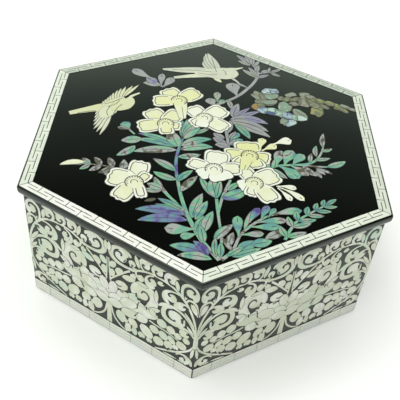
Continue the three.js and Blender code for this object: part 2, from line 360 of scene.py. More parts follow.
def band_tree():
    """Turns centre lines into flat closed bands, wide as their points say."""
    tree, build, given, result = geometry_tree("Cut bands", [("Depth", LENGTH)])
    line = build.node("GeometryNodeMeshToCurve", {"Mesh": given["Geometry"]})
    upright = build.node("GeometryNodeSetCurveNormal", {"Curve": line.outputs[0]}, mode="Z_UP")
    square = build.node("GeometryNodeCurvePrimitiveQuadrilateral", {"Width": 1.0, "Height": 1.0})
    width = build.node("GeometryNodeInputNamedAttribute", {"Name": "width"}, data_type="FLOAT")
    band = build.node("GeometryNodeCurveToMesh", {
        "Curve": upright.outputs[0], "Profile Curve": square.outputs[0],
        "Scale": width.outputs["Attribute"], "Fill Caps": True})
    lift = build.node("GeometryNodeInputNamedAttribute", {"Name": "lift"}, data_type="FLOAT")
    place = build.node("GeometryNodeInputPosition")
    parts = build.node("ShaderNodeSeparateXYZ", {0: place.outputs[0]})
    above = build.math("GREATER_THAN", parts.outputs["Z"], 0.0)
    high = build.math("MULTIPLY", above, lift.outputs["Attribute"])
    below = build.math("SUBTRACT", 1.0, above)
    low = build.math("MULTIPLY", below, given["Depth"])
    height = build.math("SUBTRACT", high, low)
    flat = build.node("ShaderNodeCombineXYZ", {
        "X": parts.outputs["X"], "Y": parts.outputs["Y"], "Z": height})
    moved = build.node("GeometryNodeSetPosition", {
        "Geometry": band.outputs[0], "Position": flat.outputs[0]})
    tree.links.new(moved.outputs[0], result)
    return tree


def round_tree():
    """Stands a flat panel on the side that faces +X and repeats it round the box."""
    tree, build, given, result = geometry_tree(
        "Stand round the box", [("Outward", LENGTH), ("Sides", WHOLE)])
    outward = build.node("ShaderNodeCombineXYZ", {"X": given["Outward"]})
    stood = build.node("GeometryNodeTransform", {
        "Geometry": given["Geometry"], "Translation": outward.outputs[0],
        "Rotation": (math.pi / 2, 0, math.pi / 2)})
    whole = build.node("GeometryNodeGeometryToInstance", {0: stood.outputs[0]})
    points = build.node("GeometryNodePoints", {"Count": given["Sides"]})
    index = build.node("GeometryNodeInputIndex")
    share = build.math("DIVIDE", index.outputs[0], given["Sides"])
    angle = build.math("MULTIPLY", share, 2 * math.pi)
    euler = build.node("ShaderNodeCombineXYZ", {"Z": angle})
    turn = build.node("FunctionNodeEulerToRotation", {0: euler.outputs[0]})
    copies = build.node("GeometryNodeInstanceOnPoints", {
        "Points": points.outputs[0], "Instance": whole.outputs[0],
        "Rotation": turn.outputs[0]})
    tree.links.new(copies.outputs[0], result)
    return tree


def inlay_tree(name, bands, round_box):
    """A piece's whole tree: cut the bands, place them, realize them and give their material."""
    inputs = [("Depth", LENGTH), ("Height", LENGTH), ("Sides", WHOLE), ("Material", FINISH)]
    tree, build, given, result = geometry_tree(name, inputs)
    shape = given["Geometry"]
    if bands:
        shape = build.node("GeometryNodeGroup", {}, node_tree=shared_tree("Cut bands", band_tree))
        tree.links.new(given["Geometry"], shape.inputs["Geometry"])
        tree.links.new(given["Depth"], shape.inputs["Depth"])
        shape = shape.outputs[0]
    if round_box:
        turned = build.node(
            "GeometryNodeGroup", {}, node_tree=shared_tree("Stand round the box", round_tree))
        tree.links.new(shape, turned.inputs["Geometry"])
        tree.links.new(given["Height"], turned.inputs["Outward"])
        tree.links.new(given["Sides"], turned.inputs["Sides"])
        shape = turned.outputs[0]
    else:
        height = build.node("ShaderNodeCombineXYZ", {"Z": given["Height"]})
        shape = build.node("GeometryNodeTransform", {
            "Geometry": shape, "Translation": height.outputs[0]}).outputs[0]
    real = build.node("GeometryNodeRealizeInstances", {0: shape})
    done = build.node("GeometryNodeSetMaterial", {
        "Geometry": real.outputs[0], "Material": given["Material"]})
    tree.links.new(done.outputs[0], result)
    return tree


def shared_tree(name, make):
    return bpy.data.node_groups.get(name) or make()


def lay(name, mesh, material, height, bands=True, round_box=False):
    """Runs an inlay tree on a drawn mesh and returns the finished plain mesh object."""
    label = f"Inlay {'bands' if bands else 'plates'} {'round' if round_box else 'flat'}"
    tree = shared_tree(label, lambda: inlay_tree(label, bands, round_box))
    source = add_object(name + "_drawing", mesh)
    modifier = source.modifiers.new("inlay", "NODES")
    modifier.node_group = tree
    depth = sizes().proud + SUNK * MM
    values = {"Depth": depth, "Height": height * MM, "Sides": SIDES, "Material": material}
    for item in tree.interface.items_tree:
        if item.in_out == "INPUT" and item.name in values:
            modifier[item.identifier] = values[item.name]
    graph = bpy.context.evaluated_depsgraph_get()
    made = bpy.data.meshes.new_from_object(source.evaluated_get(graph))
    bpy.data.objects.remove(source)
    made.polygons.foreach_set("use_smooth", [False] * len(made.polygons))
    made.name = name
    return add_object(name, made)


# ---------------------------------------------------------------- materials
def figure_group():
    """Zones and fine growth lines of a polished shell."""
    tree = bpy.data.node_groups.new("Shell figure", "ShaderNodeTree")
    face = tree.interface
    for label, value in (("Zone Scale", 120.0), ("Wander", 0.4), ("Grain Scale", 900.0)):
        socket = face.new_socket(label, in_out="INPUT", socket_type="NodeSocketFloat")
        socket.default_value = value
    for label in ("Figure", "Grain"):
        face.new_socket(label, in_out="OUTPUT", socket_type="NodeSocketFloat")
    build = Tree(tree)
    given = tree.nodes.new("NodeGroupInput").outputs
    result = tree.nodes.new("NodeGroupOutput").inputs
    place = build.node("ShaderNodeTexCoord").outputs["Object"]
    tone = build.node("ShaderNodeAttribute", attribute_name="tone").outputs["Fac"]
    zones = build.node("ShaderNodeTexNoise", {
        "Vector": place, "Scale": given["Zone Scale"], "Detail": 3.0, "Distortion": 1.2})
    centred = build.math("SUBTRACT", zones.outputs["Fac"], 0.5)
    swing = build.math("MULTIPLY", centred, given["Wander"])
    figure = build.node("ShaderNodeMath", {0: tone, 1: swing}, operation="ADD", use_clamp=True)
    turned = build.node("ShaderNodeMapping", {"Vector": place, "Rotation": (0.5, 0.9, 0.7)})
    lines = build.node("ShaderNodeTexWave", {
        "Vector": turned.outputs[0], "Scale": given["Grain Scale"], "Distortion": 3.0,
        "Detail": 2.0, "Detail Scale": 0.4})
    tree.links.new(figure.outputs[0], result["Figure"])
    tree.links.new(lines.outputs["Fac"], result["Grain"])
    return tree


def shell_material(name, base, stops, zone_scale, wander, grain, roughness=0.28, coat=0.25):
    """Polished shell whose colour runs through the stops as its figure changes."""
    material = bpy.data.materials.new(name)
    material.use_nodes = True
    material.node_tree.nodes.clear()
    build = Tree(material.node_tree)
    figure = build.node("ShaderNodeGroup", node_tree=shared_tree("Shell figure", figure_group))
    figure.inputs["Zone Scale"].default_value = zone_scale
    figure.inputs["Wander"].default_value = wander
    ramp = build.node("ShaderNodeValToRGB", {"Fac": figure.outputs["Figure"]})
    elements = ramp.color_ramp.elements
    while len(elements) < len(stops):
        elements.new(0.5)
    for element, (place, tint) in zip(elements, stops):
        element.position = place
        element.color = (*[min(b * t, 1.0) for b, t in zip(base, tint)], 1.0)
    dim = build.node("ShaderNodeMapRange", {
        "Value": figure.outputs["Grain"], "To Min": 1.0 - grain, "To Max": 1.0})
    tinted = build.node("ShaderNodeVectorMath", {
        0: ramp.outputs["Color"], 1: dim.outputs[0]}, operation="MULTIPLY")
    bump = build.node("ShaderNodeBump", {
        "Height": figure.outputs["Grain"], "Strength": 0.06, "Distance": 0.0001})
    surface = build.node("ShaderNodeBsdfPrincipled", {
        "Base Color": tinted.outputs[0], "Normal": bump.outputs[0], "Roughness": roughness,
        "Coat Weight": coat, "Coat Roughness": 0.08})
    build.node("ShaderNodeOutputMaterial", {"Surface": surface.outputs[0]})
    return material


def plain_material(name, base, roughness):
    material = bpy.data.materials.new(name)
    material.use_nodes = True
    surface = material.node_tree.nodes["Principled BSDF"]
    surface.inputs["Base Color"].default_value = (*base, 1.0)
    surface.inputs["Roughness"].default_value = roughness
    return material


def lacquer_material(name):
    """Deep black lacquer with a faint unevenness in its polish."""
    material = bpy.data.materials.new(name)
    material.use_nodes = True
    material.node_tree.nodes.clear()
    build = Tree(material.node_tree)
    place = build.node("ShaderNodeTexCoord").outputs["Object"]
    cloud = build.node("ShaderNodeTexNoise", {"Vector": place, "Scale": 45.0, "Detail": 4.0})
    polish = build.node("ShaderNodeMapRange", {
        "Value": cloud.outputs["Fac"], "To Min": 0.07, "To Max": 0.13})
    surface = build.node("ShaderNodeBsdfPrincipled", {
        "Base Color": (*colours().lacquer, 1.0), "Roughness": polish.outputs[0], "IOR": 1.47,
        "Specular Tint": (0.86, 1.0, 0.88, 1.0)})
    build.node("ShaderNodeOutputMaterial", {"Surface": surface.outputs[0]})
    return material


# Stops of a shell's colour ramp: place, and the colour as shares of the shell's base colour.
PALE_STOPS = [(0.1, (0.94, 1.02, 0.96)), (0.4, (1, 1, 0.94)), (0.65, (1.02, 0.98, 0.96)),
              (0.9, (0.9, 1.0, 1.0))]
FRET_STOPS = [(0.1, (0.58, 0.64, 0.58)), (0.35, (0.74, 0.79, 0.7)), (0.62, (0.88, 0.93, 0.84)),
              (0.8, (0.98, 1.0, 0.9)), (1.0, (1.06, 1.04, 1.05))]
CREAM_STOPS = [(0.0, (1.06, 1.09, 1.5)), (0.3, (1.04, 1.06, 1.36)), (0.5, (0.98, 1.0, 1.08)),
               (0.75, (0.95, 0.97, 0.78)), (1.0, (0.9, 0.92, 0.6))]
SCROLL_STOPS = [(0.05, (0.8, 1.04, 1.0)), (0.28, (0.96, 1.04, 1.0)), (0.45, (1, 1, 0.9)),
                (0.6, (1.1, 1.1, 1.1)), (0.72, (1.24, 1.24, 1.3)), (0.85, (1.08, 1.0, 1.12)),
                (1.0, (1.3, 1.35, 1.4))]
LEAF_STOPS = [(0.0, (0.56, 0.2, 0.92)), (0.14, (1.0, 0.47, 1.26)), (0.28, (0.8, 0.76, 1.18)),
              (0.44, (0.78, 1.02, 0.96)), (0.58, (1.25, 1.1, 1.1)), (0.65, (1.0, 1.35, 0.85)),
              (0.72, (1.9, 1.09, 1.15)), (0.82, (2.25, 1.12, 1.37)), (0.91, (1.75, 0.8, 0.96)),
              (1.0, (0.6, 0.27, 0.21))]
GREY_STOPS = [(0.0, (0.6, 0.6, 1.4)), (0.18, (0.85, 0.84, 1.15)), (0.35, (0.95, 0.97, 1.02)),
              (0.6, (1.15, 1.17, 1.1)), (0.78, (1.1, 1.2, 0.85)), (0.95, (0.45, 1.15, 0.85))]
BIRD_STOPS = [(0.0, (0.72, 0.76, 0.9)), (0.3, (0.9, 0.93, 1.05)), (0.6, (1.1, 1.12, 1.15)),
              (1.0, (1.05, 1.06, 0.85))]
ROCK_STOPS = [(0.0, (0.1, 0.16, 0.6)), (0.12, (0.27, 0.5, 1.0)), (0.25, (1.3, 1.65, 1.95)),
              (0.36, (2.1, 2.7, 2.3)), (0.48, (0.75, 1.2, 0.82)), (0.62, (1.2, 1.18, 0.9)),
              (0.76, (0.5, 0.52, 0.3)), (0.86, (1.2, 1.36, 0.42)), (1.0, (1.3, 0.78, 0.26))]


SHELLS = {
    # colour, stops, zone scale, how far the zones wander, depth of the grain, roughness and coat
    "border shell": ("border", FRET_STOPS, 60, 0.4, 0.08),
    "scroll shell": ("scroll", SCROLL_STOPS, 60, 1.4, 0.16),
    "band shell": ("band", PALE_STOPS, 90, 0.7, 0.14),
    "blossom shell": ("blossom", CREAM_STOPS, 70, 0.8, 0.06),
    "bird shell": ("bird", BIRD_STOPS, 120, 0.6, 0.15),
    "leaf shell": ("leaf", LEAF_STOPS, 110, 1.7, 0.25, 0.22, 0.3),
    "grey shell": ("grey", GREY_STOPS, 120, 1.1, 0.25),
    "rock shell": ("rock", ROCK_STOPS, 170, 0.6, 0.25),
}
LINE_ROUGHNESS = 0.5


def finish(name):
    """The named material, made the first time that it is asked for."""
    made = bpy.data.materials.get(name)
    if made:
        return made
    if name == "polished lacquer":
        return lacquer_material(name)
    if name == "engraved line":
        return plain_material(name, colours().engraving, LINE_ROUGHNESS)
    tint, *look = SHELLS[name]
    return shell_material(name, getattr(colours(), tint), *look)


# ---------------------------------------------------------------- lacquer
EDGE_ROUND = 0.5        # round of the body's foot and rim, in millimetres
INSIDE_CORNER = 0.9     # round of the upright inside corners at the rim
FLOOR_ROUND = 2         # round between the walls and the floor
FLOOR_CORNER = 2.5
LIP_PLAY = 0.5          # between the lid's lip and the walls
LIP_THICK = 4
LIP_CORNER = 1.0
FIELD_CORNER = 0.1      # round of the corners of the picture's field


def lay_lacquer_body():
    """Body: hollow, with its faces just under the shell."""
    size = sizes()
    wall, floor, corner = size.wall / MM, size.floor / MM, size.body_corner / MM
    outer = BODY_FLAT - size.proud / MM
    inner = BODY_FLAT - wall
    foot = BODY_FLAT - size.ledge / MM
    profile = round_steps(foot - EDGE_ROUND, EDGE_ROUND, EDGE_ROUND, -90, 0, corner, 3)
    profile += [(foot, corner, BAND_HIGH.z), (outer, corner, BAND_HIGH.z)]
    profile += round_steps(outer - EDGE_ROUND, RIM - EDGE_ROUND, EDGE_ROUND, 0, 90, corner, 3)
    profile += round_steps(inner + EDGE_ROUND, RIM - EDGE_ROUND, EDGE_ROUND, 90, 180,
                           INSIDE_CORNER, 3)
    profile += round_steps(inner - FLOOR_ROUND, floor + FLOOR_ROUND, FLOOR_ROUND, 0, -90,
                           FLOOR_CORNER, 4)
    body = hex_shell("lacquer_body", profile)
    body.data.materials.append(finish("polished lacquer"))
    shade(body)
    finish_piece(body, ["body"])


def lay_lacquer_lid():
    """Lid: a bullnose edge that turns under to the seam, and the lip that locates it."""
    size = sizes()
    corner = size.lid_corner / MM
    nose_low, nose_top = size.nose_low / MM, size.nose_top / MM
    bottom = TOP - size.lid_edge / MM
    surface = TOP - size.proud / MM
    reach = LID_FLAT - BODY_FLAT
    lip_out = BODY_FLAT - size.wall / MM - LIP_PLAY
    lip_in, lip_low = lip_out - LIP_THICK, LID_LOW.z
    profile = [(lip_in, LIP_CORNER, bottom), (lip_in, LIP_CORNER, lip_low),
               (lip_out, LIP_CORNER, lip_low), (lip_out, LIP_CORNER, bottom)]
    steps = 6
    for step in range(steps + 1):
        turn = math.pi / 2 * step / steps
        profile.append((LID_FLAT - reach * (1 - math.sin(turn)), corner,
                        bottom + nose_low * (1 - math.cos(turn))))
    ledge = TOP - size.ledge / MM
    profile += round_steps(LID_FLAT - nose_top, ledge - nose_top, nose_top, 0, 90, corner, 5)
    profile += [(BORDER_LOW.x, FIELD_CORNER, ledge), (BORDER_LOW.x, FIELD_CORNER, surface)]
    lid = hex_shell("lacquer_lid", profile)
    lid.data.materials.append(finish("polished lacquer"))
    shade(lid)
    finish_piece(lid, ["lid"])


# ---------------------------------------------------------------- fret and foot band
FRET_REPEATS = 6
TILE_ROWS = 3
TILE_GAP = 0.26         # joint between two tiles, in millimetres
BAND_END = 0.5          # from the end of a strip of tiles to the corner of the body
SHORTEST_TILE = 1


def t_cut(middle, edge, inward, depth, line, bar):
    """Outline of a T-shaped cut that enters a strip from one of its edges."""
    corners = [(-line, 0), (-line, depth - line), (-bar, depth - line), (-bar, depth + line),
               (bar, depth + line), (bar, depth - line), (line, depth - line), (line, 0)]
    return [(middle + along, edge + inward * into) for along, into in corners]


def fret_outline():
    """One mitred strip, drawn as (along, out from the axis)."""
    size = sizes()
    line, bar = size.fret_line / MM / 2, size.fret_bar / MM / 2
    outer, inner = BORDER_HIGH.x, BORDER_LOW.x
    slope = math.tan(HALF_TURN)
    third = (outer - inner) / 3
    pitch = (outer + inner) * slope / FRET_REPEATS
    middle = FRET_REPEATS / 2

    def mitre(flat):
        return flat * slope - line

    corner = [(mitre(inner + third + line), inner + third + line),
              (mitre(inner + third) - bar, inner + third + line),
              (mitre(inner + third) - bar, inner + third - line),
              (mitre(inner + third - line), inner + third - line)]
    outline = [(-mitre(outer), outer)]
    for i in range(1, FRET_REPEATS):
        outline += t_cut((i - middle) * pitch, outer, -1, 2 * third, line, bar)
    outline += [(mitre(outer), outer), *corner, (mitre(inner), inner)]
    for i in reversed(range(FRET_REPEATS)):
        outline += reversed(t_cut((i + 0.5 - middle) * pitch, inner, 1, 2 * third, line, bar))
    outline.append((-mitre(inner), inner))
    outline += [(-x, y) for x, y in reversed(corner)]
    return outline


FRET_PAINTED_LIGHT = (0.45, 0.12, 0.2, 0.6, 0.95, 0.62)      # painted light and shade of the strips, whiter at the front and left, greyer at the back, from +X round


def lay_fret_border():
    """Fret: six mitred strips of white shell round the top of the lid."""
    plates = Plates()
    turned = [(out, -along) for along, out in fret_outline()]
    # Each strip's tone is painted light: the front and left strips are made whiter, the back ones
    # greyer.
    for number, tone in enumerate(FRET_PAINTED_LIGHT):
        turn = Matrix.Rotation(number * 2 * HALF_TURN, 2)
        plates.add([turn @ Vector(spot) for spot in turned], tone, TOP)
    border = add_object("fret_border", plates.mesh("fret_border"))
    border.data.materials.append(finish("border shell"))
    finish_piece(border, [f"lid_border_{n}" for n in NUMBERS])


def lay_foot_band():
    """Foot band: three rows of thin tiles, their joints in line, round the foot."""
    size = sizes()
    tile = size.tile / MM
    low, high = BAND_LOW.z, BAND_HIGH.z
    height = (high - low) / TILE_ROWS
    half = HALF_SIDE - BAND_END
    chance = random.Random(4)
    plates = Plates()
    count = math.ceil(half / tile)
    for column in range(-count, count):
        left = max(column * tile + TILE_GAP / 2, -half)
        right = min((column + 1) * tile - TILE_GAP / 2, half)
        if right - left < SHORTEST_TILE:
            continue
        for row in range(TILE_ROWS):
            bottom = low + row * height + TILE_GAP / 2
            top = bottom + height - TILE_GAP
            plates.add([(left, bottom), (right, bottom), (right, top), (left, top)],
                       chance.uniform(0.2, 0.8), 0.0)
    band = lay("foot_band", plates.mesh("foot_band"), finish("band shell"),
               BODY_FLAT, bands=False, round_box=True)
    finish_piece(band, [f"base_band_{n}" for n in NUMBERS])


# ---------------------------------------------------------------- scrollwork of the sides
# Each line is a list of (x, y, width); the left half of a side mirrors the right.
STALK = [(0, 9, 3.6), (0, 30, 2.6)]      # upright under the flower
VINES = [
    [(58.4, 26, 1.5), (58.5, 40, 1.5), (57.6, 49.5, 1.5), (54.4, 58, 1.6), (49.6, 65, 1.8),
     (43, 69.8, 1.6), (35, 71.4, 1.4), (27, 71, 1.4), (20, 68, 1.6), (14, 63.4, 1.4),
     (8, 57, 1.2), (1, 48.6, 1.0)],
    [(58.4, 30, 1.4), (56.2, 25.4, 1.4), (52.6, 21, 1.4), (47.5, 16.6, 1.5), (42, 13.4, 1.5),
     (36.5, 10.6, 1.3), (33, 9.2, 1.0)],
    [(28.5, 31.4, 1.2), (33, 30.4, 1.2), (39, 30, 1.1), (44, 29, 1.0), (49, 27.4, 0.8)],
    [(1.6, 47, 0.9), (0.9, 56, 0.9), (0.6, 66, 0.6)],
    [(1.4, 26, 1.2), (3.4, 17, 1.2), (8, 11.4, 1.2), (13, 9.2, 1.0)],
]
SCROLLS = [
    # ring at the top middle
    [(19, 67, 1.6), (12, 65.8, 1.9), (6, 66.6, 2.6), (2.6, 70, 3.4), (2.6, 74.4, 3.2),
     (5.4, 77.4, 2.4), (10, 78.2, 2.2), (14, 76.8, 2.8), (15.6, 75.2, 1.2)],
    # curl in the top corner
    [(49.3, 65.2, 1.3), (48.2, 70, 1.6), (48.8, 75, 1.9), (51.8, 77.8, 2.2),
     (55.4, 77.6, 2.0), (57.6, 74.8, 1.8), (57.8, 71, 1.6), (56.8, 68.2, 1.0)],
    # long leaf below it
    [(51.5, 64, 1.0), (52.4, 66.2, 1.3), (54.6, 67, 1.6), (57, 66, 1.8), (58.2, 62.4, 1.4),
     (58.6, 57, 0.6)],
    # acanthus beside the flower
    [(25.4, 37, 4.6), (29.2, 42.8, 6.4), (31, 50, 5.8), (29, 56.2, 5.8), (24, 58.0, 4.6),
     (19.4, 55.2, 5.0), (17.4, 50.6, 4.2), (17.2, 46.4, 1.4)],
    # spiral from the corner
    [(58.2, 41, 1.2), (55.8, 46.6, 1.6), (51.5, 51.6, 1.9), (45.5, 54, 2.0),
     (40, 53.6, 2.4), (36.8, 51.8, 2.6), (34.2, 49.4, 0.9)],
    [(43, 53, 1.6), (39, 51.4, 2.4), (37.4, 47, 3.0), (38.6, 42.4, 3.4), (42.6, 40.8, 3.4),
     (47, 41.2, 3.4), (50.2, 44, 2.6), (51.2, 48.6, 0.8)],
    # comma leaves that are drawn one by one
    [(47, 66.8, 1.0), (42.6, 66.4, 1.3), (39, 64.4, 2.2), (37.6, 61, 3.2),
     (38.4, 57.4, 3.4), (40.8, 55.2, 1.2)],
    [(54, 60, 0.9), (50.4, 61.2, 1.3), (46.8, 59.8, 2.2), (44.8, 56.8, 2.4), (45.4, 54.8, 1.0)],
    [(58, 37.4, 1), (55.4, 40.2, 1.5), (51.4, 41.2, 1.9), (48, 39.2, 1.2)],
    [(47.4, 14.4, 0.8), (49.6, 16.6, 1.2), (53.4, 17.4, 1.8), (57, 15, 2.2), (57.8, 11, 1.4)],
    [(30.4, 70.4, 0.9), (27, 68.4, 1.2), (25.4, 65, 1.7), (26.2, 61.8, 2.2), (29.2, 60.8, 2.2),
     (31.2, 61.6, 1.2)],
    [(19.8, 68, 0.9), (18.8, 65.6, 1.3), (20, 62.6, 1.6)],
    [(19.6, 68.4, 0.8), (17.6, 68.4, 1.0), (14.8, 69.2, 1.0)],
]
LEAVES = [
    # foot x, y, heading, length, width
    (0.9, 71.5, 88, 7.6, 2.8), (21, 70.4, 106, 9.2, 2.8),
    (50.6, 65.6, 84, 4.8, 1.6), (58, 57.8, 113, 9, 3.6), (57.8, 45.8, 126, 12, 2.3),
    (57.8, 39.6, 132, 7.4, 2.0), (32.6, 50, 91, 10.8, 2.8), (27.4, 58.6, 176, 8, 2.8),
    (27.5, 40.4, 33, 9.4, 3.8), (38.4, 9.7, 4, 10, 1.7), (58.5, 28.4, 262, 10.5, 2.0),
    (44.6, 76.8, 280, 7.6, 2.7), (9.6, 56.2, 18, 9.6, 4.8), (34.4, 39.2, 200, 7, 3.4),
    (53.6, 9.9, 176, 5, 1.3),
]
DISCS = [
    # middle x, y, heading, length, width: heads of the scrolls, then berries and buds
    (8.7, 72.2, 30, 8.6, 8.4), (53.6, 72.4, 80, 6.4, 5.6), (23.6, 51.4, 60, 11.4, 10.4),
    (45.3, 47.4, 60, 9.8, 9.4), (42.2, 61.1, 60, 7, 6.4), (48, 57.7, 20, 7, 5.2),
    (51.6, 36.8, 60, 6.8, 6.4), (53.2, 12.8, 60, 7.2, 6.6), (29.3, 64.8, 60, 6.4, 5.8),
    (22, 63.2, 80, 5.6, 4.6), (16.4, 71.3, 60, 4.8, 4.6), (17, 61.2, 70, 5.4, 3.8),
    (35, 67.7, 20, 4.6, 3.2), (55.6, 63.2, 95, 4.2, 2.8), (35.2, 17.2, 70, 8.6, 7.2),
    (42, 18.8, 80, 7.8, 6), (46.8, 20.3, 80, 4.6, 4), (28.9, 12.8, 60, 4.5, 4.3),
    (23.4, 13.6, 60, 5.6, 5.2), (14.1, 13.8, 75, 8.6, 5.2), (18.1, 13.9, 100, 8.6, 4.2),
    (36.9, 35, 85, 7.4, 6.6), (43, 33.6, 85, 6.8, 5.8), (47.9, 31.7, 75, 5.6, 4.8),
    (53.4, 31.4, 75, 5.2, 4.6), (32, 25.7, 80, 7.2, 6.4), (38.3, 24.8, 115, 7.6, 6.2),
    (43.9, 25, 125, 7.2, 4.4), (50.4, 24.8, 25, 7.4, 6.6), (3.3, 62.4, 60, 6.4, 4.2),
    (7.7, 59.3, 55, 6.6, 5), (2.6, 55.2, 80, 6.6, 4.2),
    (10.8, 75.6, 155, 7, 3.6), (56.4, 71, 85, 7, 3.4),
]
PETALS = [
    # middle x, y, heading, length, width, in layers from the back of the flower to its front
    [(14, 36, 0, 34, 16), (26.8, 19.9, 128, 11.8, 8)],
    [(17.2, 20.4, 110, 9, 6.4), (24.6, 36.4, 8, 20, 8.4), (16.8, 42.6, 40, 14, 7.8)],
    [(22.8, 29.4, 20, 10, 7.6), (9.4, 20.4, 115, 11, 8.4), (9.2, 48.6, 25, 9.6, 7.2),
     (30.6, 40.2, 300, 6, 4.2)],
    [(14.6, 27.6, 12, 12, 7.4), (9, 40.6, 32, 12.6, 6.4)],
    [(14, 36.4, 22, 13, 8.2), (3.2, 43, 78, 11.4, 6.2)],
    [(4.4, 35.4, 30, 10, 6)],
    [(4.6, 29.8, 15, 10.6, 7.6)],
]
SLITS = [
    # eyes and slits of lacquer, from the mouth inwards
    [(14.4, 67.6, 1.2), (8.6, 68, 1.1), (5.2, 70, 1.1), (4.6, 72.8, 1.1), (6.2, 75.2, 1.1),
     (8.6, 75.2, 1.1), (9.4, 73.8, 1.2), (8.8, 72.8, 0.6)],
    [(12.2, 71.6, 0.6), (10.8, 69.2, 0.7)],
    [(51.4, 68, 1.4), (50, 71, 1.5), (50.6, 74.8, 1.3), (53, 76.4, 1.1), (55.2, 75.6, 1.1),
     (55.8, 74, 1.1), (54.8, 73.2, 0.7)],
    [(20, 45, 2.2), (25, 45.9, 1.6), (27.4, 48.4, 1.2), (27.7, 51.6, 1.0), (25.8, 53.9, 0.9),
     (23.6, 53.4, 1.0), (22.9, 51.4, 0.7)],
    [(19.5, 49.4, 0.5), (19.4, 46, 1.4)],
    [(50.6, 49.6, 1.4), (48, 51.8, 1.1), (44, 52.2, 0.9), (41, 50.4, 0.9), (40.4, 47, 0.9),
     (41.6, 44.2, 0.8), (44.2, 43.4, 0.7), (45.5, 44.4, 1.4)],
    [(49.9, 45, 1.0), (49.6, 48.6, 1.6)],
    [(45, 65.2, 0.6), (42.4, 65, 0.9), (40.6, 63.8, 1.0), (40.4, 62.3, 1.0), (41.6, 61.9, 1.1)],
    [(53, 59, 1.5), (51, 59.6, 1.1), (49.6, 58.8, 1.1)],
    [(56, 37.4, 1.8), (54.4, 38.2, 1.2), (53.2, 37.2, 1.1)],
    [(50, 14.6, 1.4), (52, 15.6, 1.0), (53.6, 14.4, 1.0), (53.2, 13.0, 1.1)],
    [(55.6, 9.4, 1.6), (55.4, 11, 0.6)], [(28.6, 67.6, 0.7), (27.2, 66.4, 0.9), (28.3, 64.8, 1.5)],
    [(21.4, 67.4, 1.2), (20.6, 65.4, 0.9)], [(16.2, 68.6, 0.8), (16.6, 70.6, 1.1)],
    [(15.6, 65, 1.2), (16, 62.8, 0.9)], [(36.9, 69.4, 0.9), (36.4, 68, 0.9)],
    [(54.6, 66, 0.5), (54.9, 64.8, 1.1)], [(37.4, 14.4, 0.8), (35.6, 12.2, 1.3)],
    [(42.9, 16.6, 0.9), (41.4, 13.8, 1.4)], [(47.4, 18.9, 0.9), (46.6, 17.4, 1.1)],
    [(24.4, 11.8, 0.7), (23, 10.4, 1.0)], [(29.4, 11.4, 0.6), (28.6, 10.2, 0.9)],
    [(16.4, 17.6, 1.3), (16.2, 14, 0.6)], [(4.4, 48.6, 0.5), (7, 47, 0.9), (9.4, 47.8, 0.5)],
    [(8.4, 43.6, 0.7), (10.6, 43.2, 1.2)], [(2.6, 24.8, 0.9), (4.2, 22.8, 1.1)],
    [(11.8, 23.8, 0.8), (13.2, 20.6, 1.1)], [(10.4, 14.4, 1.6), (11.8, 17.4, 0.6)],
    [(21, 42.6, 0.4), (20, 36, 0.7)], [(26.6, 42.2, 0.6), (26.2, 39.4, 0.6)],
    [(21, 33, 0.4), (18.4, 28, 0.9)],
]


def crest(x, y, size, lean=0.0):
    """A comma leaf on the arch: a crescent that ends in a flag, and a head inside it."""
    turn = Matrix.Rotation(math.radians(lean), 2)

    def placed(points):
        spots = []
        for px, py, width in points:
            spot = Vector((x, y)) + turn @ Vector((px, py)) * size
            spots.append((*spot, width * size))
        return spots

    crescent = placed([(0, 0, .12), (-.24, .17, .2), (-.32, .5, .25), (-.12, .83, .33),
                       (.26, .88, .3), (.62, .92, .06)])
    head = placed([(.12, .9, .05), (.2, .74, .42), (.14, .5, .6), (.1, .3, .5), (.06, .2, .05)])
    slit = placed([(.3, .13, .12), (.02, .13, .14), (-.12, .36, .11), (-.04, .5, .14),
                   (.04, .42, .06)])
    return smooth(crescent, 4), smooth(head, 4), smooth(slit, 3)


CRESTS = [(24.2, 71.2, 8.2), (32.4, 71.6, 8.2), (40.6, 70.6, 8.6)]
OUTLINE = 0.55          # width of the lacquer line round a piece that lies on another
SCROLL_DEEP = -0.28     # the lowest band of a side, under the face of the body
SCROLL_STEP = 0.006     # rise from one layer to the next
SLIT_LEVEL = -0.014     # slits of lacquer, over every layer of shell


def oval(x, y, heading, length, width):
    foot = Vector((x, y)) - ray(heading, length / 2)
    return leaf(foot.x, foot.y, heading, length, width, blunt=0.5, steps=8)


def side_drawing():
    """Shell and lacquer-line bands of one side, the left half mirroring the right."""
    chance = random.Random(11)
    shell, lines = Bands(), Bands()

    def both(line, level, outlined=False):
        for half in (line, mirrored(line)):
            shell.add(half, chance.uniform(0.38, 0.62), level)
            if outlined:
                lines.add(widened(half, OUTLINE), 0.5, level - SCROLL_STEP)

    level = SCROLL_DEEP
    shell.add(smooth(STALK), 0.5, level)
    for points in VINES + SCROLLS:
        level += SCROLL_STEP
        both(smooth(points, 4), level)
    crests = [crest(*each) for each in CRESTS]
    for crescent, head, _ in crests:
        both(crescent, level)
        both(head, level + SCROLL_STEP)
    level += 2 * SCROLL_STEP
    for i, each in enumerate(DISCS):
        both(oval(*each), level + SCROLL_STEP * (i % 2))
    level += 3 * SCROLL_STEP
    for each in LEAVES:
        both(leaf(*each), level, outlined=True)
    for layer in PETALS:
        level += 2 * SCROLL_STEP
        for each in layer:
            both(oval(*each), level, outlined=True)
    for line in [smooth(points, 4) for points in SLITS] + [slit for *_, slit in crests]:
        for half in (line, mirrored(line)):
            lines.add(half, 0.5, SLIT_LEVEL)
    return shell, lines


